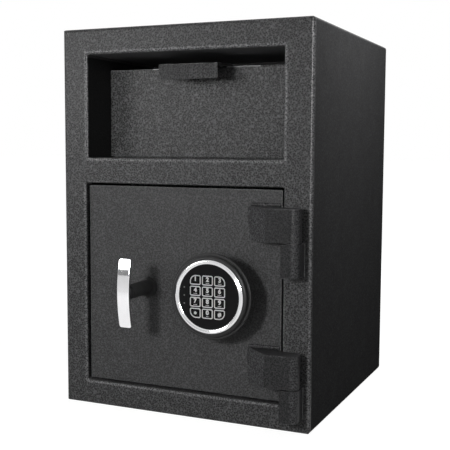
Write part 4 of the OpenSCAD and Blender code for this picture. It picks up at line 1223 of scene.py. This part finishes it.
@dataclass
class Keypad(Assembly):
    """Round keypad with twelve printed keys and three lamps."""

    ring_width: float = 6.5 * MM
    outer_round: float = 3.0 * MM
    inner_round: float = 2.4 * MM
    groove: float = 0.9 * MM
    groove_depth: float = 0.3 * MM
    line: float = 1.3 * MM
    inset: float = 0.15 * MM
    corner: float = 2.5 * MM
    cut_corner: float = 8.5 * MM
    ink: float = 0.08 * MM
    sign_height: float = 5.4 * MM
    font_height: float = 0.72
    sign_up: float = 1.5 * MM
    bold: float = 0.42 * MM
    star: float = 4.0 * MM
    stroke: float = 1.2 * MM
    bar_width: float = 1.1 * MM
    bar_height: float = 0.8 * MM
    bar_pitch: float = 1.7 * MM
    bars_down: float = 3.3 * MM
    keys: tuple[Key, ...] = (
        Key("key_1", "1", 0, Corner.UPPER_LEFT),
        Key("key_2", "2"),
        Key("key_3", "3", cut=Corner.UPPER_RIGHT),
        *(Key(f"key_{sign}", sign) for sign in "456789"),
        Key("key_star", "*", 0, Corner.LOWER_LEFT),
        Key("key_0", "0", 2),
        Key("key_hash", "#", 0, Corner.LOWER_RIGHT, 0.9),
    )
    finishes = {
        "keypad_base": BLACK_PLASTIC,
        "keypad_housing": HOUSING_LIT_BLACK,
        "keypad_face": FACE_GLOSS,
        "keypad_lamps": LAMP_LENS,
        "key_board": GREY_PLASTIC,
    }

    def __post_init__(self) -> None:
        """Adds the finish of the keys."""
        self.finishes = self.finishes | {key.node: KEY_GLOSS for key in self.keys}

    def loop(self, key: Key, inset: float) -> list[Pair]:
        """A key's border, moved inwards.

        Args:
            key: The key.
            inset: How far inwards.

        Returns:
            Points as (x, z), against the clock from the upper right corner.
        """
        low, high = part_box(key.node)
        points = []
        for quarter, corner in enumerate(Corner):
            sx, sz = corner.value
            full = self.cut_corner if corner is key.cut else self.corner
            x = (high.x if sx > 0 else low.x) - sx * full
            z = (high.z if sz > 0 else low.z) - sz * full
            points += arc((x, z), full - inset, quarter)
        return points

    def add_outline(self, work: Work, key: Key, face: float) -> None:
        """Adds the printed line along a key's border.

        Args:
            work: The print's geometry.
            key: The key.
            face: Where its front is.
        """
        outer, inner = self.loop(key, self.inset), self.loop(key, self.inset + self.line)
        front, back = face - self.ink, face + self.ink
        sides = ((outer, front), (inner, front), (inner, back), (outer, back))
        rings = [[work.verts.new((x, y, z)) for x, z in loop] for loop, y in sides]
        count = len(outer)
        for first, second in zip(rings, rings[1:] + rings[:1]):
            for i in range(count):
                j = (i + 1) % count
                work.faces.new((first[i], first[j], second[j], second[i]))

    def add_sign(self, work: Work, key: Key, place: Vector) -> None:
        """Adds a printed figure.

        Args:
            work: The print's geometry.
            key: The key.
            place: Its middle.
        """
        text = bpy.data.curves.new("print", "FONT")
        text.body, text.size = key.sign, self.sign_height / self.font_height * key.scale
        text.extrude, text.offset = self.ink, self.bold
        mesh = baked("print_helper", text)
        xs = [v.co.x for v in mesh.vertices]
        ys = [v.co.y for v in mesh.vertices]
        middle = Vector(((min(xs) + max(xs)) / 2, (min(ys) + max(ys)) / 2, 0))
        upright = Matrix.Rotation(QUARTER, 4, "X")
        mesh.transform(Matrix.Translation(place) @ upright @ Matrix.Translation(-middle))
        work.from_mesh(mesh)

    def add_bar(self, work: Work, place: Matrix, width: float, height: float) -> None:
        """Adds a printed bar in a place, with its width and height."""
        size = Matrix.Diagonal((width, 2 * self.ink, height, 1))
        bmesh.ops.create_cube(work, size=1, matrix=place @ size)

    def build_bezel(self) -> None:
        """Makes the chrome ring: two rounds with a shallow groove between them."""
        low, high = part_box("keypad_ring")
        centre = Vector(((low.x + high.x) / 2, high.y, (low.z + high.z) / 2))
        outer, top = (high.x - low.x) / 2, high.y - low.y
        inner = outer - self.ring_width
        groove = inner + self.inner_round + self.groove / 2
        profile = [
            (outer, 0.0),
            *arc((outer - self.outer_round, top - self.outer_round), self.outer_round, 0),
            (groove, top - self.groove_depth),
            *arc((inner + self.inner_round, top - self.inner_round), self.inner_round, 1),
            (inner, 0.0),
        ]
        mesh = turned(profile, Vector(), 96)
        mesh.transform(Matrix.Translation(centre) @ Matrix.Rotation(QUARTER, 4, "X"))
        bezel = add_piece("ring_bezel", mesh, CHROME, "door")
        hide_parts("keypad_ring")

    def build(self) -> None:
        """Makes the ring and prints each key."""
        self.build_bezel()
        for key in self.keys:
            low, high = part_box(key.node)
            middle = Vector(((low.x + high.x) / 2, low.y, (low.z + high.z) / 2))
            work = bmesh.new()
            self.add_outline(work, key, low.y)
            if key.sign == "*":
                for i in range(3):
                    turn = Matrix.Rotation(math.pi / 3 * i + QUARTER, 4, "Y")
                    self.add_bar(work, Matrix.Translation(middle) @ turn, self.star, self.stroke)
            else:
                up = self.sign_up if key.sign.isdigit() else 0.0
                self.add_sign(work, key, middle + Vector((0, 0, up)))
            for i in range(key.bars):
                aside = (i - (key.bars - 1) / 2) * self.bar_pitch
                place = Matrix.Translation(middle + Vector((aside, 0, -self.bars_down)))
                self.add_bar(work, place, self.bar_width, self.bar_height)
            add_piece(f"print_{key.node}", to_mesh(work, f"print_{key.node}", 30), INK, key.node)


# Studio


@dataclass(frozen=True)
class Lamp:
    """A square soft light."""

    name: str
    place: Point
    aim: Point
    size: float
    power: float
    diffuse: bool = True
    glossy: bool = True

    def build(self) -> None:
        """Puts the lamp in the scene, for diffuse light, for gloss or for both."""
        light = bpy.data.lights.new(self.name, "AREA")
        light.shape, light.size, light.energy = "SQUARE", self.size, self.power
        lamp = placed(self.name, light)
        lamp.location = self.place
        away = Vector(self.place) - Vector(self.aim)
        lamp.rotation_euler = away.to_track_quat("Z", "Y").to_euler()
        lamp.visible_camera, lamp.visible_diffuse = False, self.diffuse
        lamp.visible_glossy = self.glossy
        log.info("%s: %.0f W", self.name, self.power)


def stage_sheet(name: str, corners: Sequence[Point]) -> tuple[Piece, Surface]:
    """Adds a flat four-cornered piece of the stage, and starts its material.

    Args:
        name: Its name.
        corners: Its corners, in order.

    Returns:
        The piece and the tree of its material.
    """
    mesh = bpy.data.meshes.new(name)
    mesh.from_pydata(corners, [], [(0, 1, 2, 3)])
    material = bpy.data.materials.new(name)
    mesh.materials.append(material)
    sheet = placed(name, mesh)
    return sheet, Surface(material)


@dataclass(frozen=True)
class Card:
    """A card that only shows in glossy reflections, as beside a still life of metal."""

    name: str
    corners: tuple[Point, Point, Point, Point]
    shade: float = 0.0
    upper_shade: float = 0.0

    def build(self) -> None:
        """Puts the card in the scene."""
        card, tree = stage_sheet(self.name, self.corners)
        strength = self.shade
        if self.upper_shade != self.shade:
            up = tree.axis("Z").ramp(self.corners[0][2], self.corners[2][2])
            strength = up * (self.upper_shade - self.shade) + self.shade
        plain = tree.node("ShaderNodeEmission", inputs={0: WHITE, 1: strength})
        tree.node("ShaderNodeOutputMaterial", inputs={0: plain.outputs[0]})
        card.visible_camera = card.visible_diffuse = card.visible_shadow = False
        card.visible_transmission = card.visible_volume_scatter = False


def strip(name: str, left: Point, right: Point, top: float, shades: Pair) -> Card:
    """An upright card between two points on the same level, with its lower and its upper shade."""
    corners = (left, right, (right[0], right[1], top), (left[0], left[1], top))
    return Card(name, corners, *shades)


@dataclass
class Studio:
    """White surroundings, floor, lamps, flags and the camera of the photograph."""

    world_light: float = 0.10
    floor_size: float = 40.0
    floor_colour: Colour = (0.22, 0.22, 0.22)
    floor_bounce: Colour = (0.14, 0.14, 0.14)
    floor_glow: Pair = (0.93, 1.0)
    glow_reach: Pair = (0.5, 2.2)
    eye: Point = (0.50099, -1.16357, 0.35525)
    turn: float = 23.963
    tilt: float = -5.247
    roll: float = 0.295
    lens: float = 68.66
    lamps: tuple[Lamp, ...] = (
        Lamp("key_lamp", (-0.17, -1.15, 0.47), (0.0, -0.18, 0.30), 0.17, 6.3, glossy=False),
        Lamp("right_softbox", (0.80, -1.70, 0.90), (0.05, -0.15, 0.25), 0.7, 1.6, glossy=False),
        Lamp("side_softbox", (0.38, -0.02, 0.76), (0.18, 0.0, 0.42), 0.30, 2.7),
        Lamp("sheen_softbox", (-1.05, -1.55, 0.62), (-0.05, -0.18, 0.32), 0.6, 16.0, diffuse=False),
        Lamp("edge_softbox", (0.95, -1.30, 0.60), (0.16, -0.18, 0.25), 0.5, 40.0, diffuse=False),
        Lamp("back_softbox", (-0.30, 1.50, 0.85), (0.0, 0.18, 0.25), 0.8, 14.0, glossy=False),
    )
    cards: tuple[Card, ...] = (
        strip("grey_card", (-1.30, -0.95, 0.305), (-0.10, -1.55, 0.305), 0.43, (0.22, 0.22)),
        strip("white_card", (-1.30, -0.95, 0.0), (-0.10, -1.55, 0.0), 0.305, (0.95, 0.72)),
        Card("right_floor_flag", ((0.24, 0.0, 0.002), (4, 0.0, 0.002), (4, 4, 0.002), (0.24, 4, 0.002))),
        strip("right_flag", (0.3, 4, 0), (4, 4, 0), 4.0, (0.0, 0.0)),
    )

    @staticmethod
    def seen(tree: Tree) -> Value:
        """1 for rays of the camera, of gloss and of glass, and 0 for the rest."""
        rays = tree.node("ShaderNodeLightPath").outputs
        seen = Value(tree, rays["Is Camera Ray"])
        for name in ("Is Glossy Ray", "Is Transmission Ray"):
            seen = seen.math("MAXIMUM", Value(tree, rays[name]))
        return seen

    def build_world(self) -> None:
        """White behind everything, and a weaker light from all round."""
        world = bpy.data.worlds.new("studio")
        bpy.context.scene.world = world
        world.use_nodes = True
        tree = Tree(world.node_tree)
        soft, white = [
            tree.node("ShaderNodeBackground", inputs={0: WHITE, 1: light}).outputs[0]
            for light in (self.world_light, 1.0)
        ]
        mix = tree.node("ShaderNodeMixShader", inputs={0: self.seen(tree), 1: soft, 2: white})
        tree.node("ShaderNodeOutputWorld", inputs={0: mix.outputs[0]})

    def build_floor(self) -> None:
        """A pale floor that fades to white away from the safe, and keeps its shadow."""
        half = self.floor_size / 2
        corners = [(-half, -half, 0), (half, -half, 0), (half, half, 0), (-half, half, 0)]
        _, tree = stage_sheet("floor", corners)
        length = tree.node("ShaderNodeVectorMath", {"operation": "LENGTH"}, {0: tree.place})
        near, far = self.floor_glow
        away = Value(tree, length.outputs["Value"]).ramp(*self.glow_reach)
        strength = near + away * (far - near)
        plain, dark = [
            tree.node("ShaderNodeBsdfDiffuse", inputs={0: (*colour, 1)}).outputs[0]
            for colour in (self.floor_colour, self.floor_bounce)
        ]
        glow = tree.node("ShaderNodeEmission", inputs={0: WHITE, 1: strength})
        lit = tree.node("ShaderNodeAddShader", inputs={0: plain, 1: glow.outputs[0]})
        mix = tree.node("ShaderNodeMixShader", inputs={0: self.seen(tree), 1: dark, 2: lit.outputs[0]})
        tree.node("ShaderNodeOutputMaterial", inputs={0: mix.outputs[0]})

    def build_camera(self) -> None:
        """The camera, where the photograph's stood."""
        data = bpy.data.cameras.new("photo_view")
        data.lens, data.sensor_width = self.lens, 36.0
        data.clip_start, data.clip_end = 0.05, 100.0
        camera = placed("photo_view", data)
        turn = Matrix.Rotation(math.radians(self.turn), 4, "Z")
        tilt = Matrix.Rotation(math.radians(90 + self.tilt), 4, "X")
        roll = Matrix.Rotation(math.radians(self.roll), 4, "Z")
        camera.matrix_world = Matrix.Translation(self.eye) @ turn @ tilt @ roll
        bpy.context.scene.camera = camera

    def build(self) -> None:
        """Builds the surroundings and the lamps."""
        bpy.context.scene.view_settings.view_transform = "Standard"
        self.build_world()
        self.build_floor()
        for item in (*self.lamps, *self.cards):
            item.build()


def main() -> None:
    """Builds the safe and its studio."""
    logging.basicConfig(level=logging.INFO, format="%(message)s")
    studio = Studio()
    studio.build_camera()
    for assembly in (Door(), Cabinet(), Hopper(), Hinges(), Handle(), Keypad()):
        assembly.dress()
        assembly.build()
    studio.build()


if __name__ == "__main__":
    main()
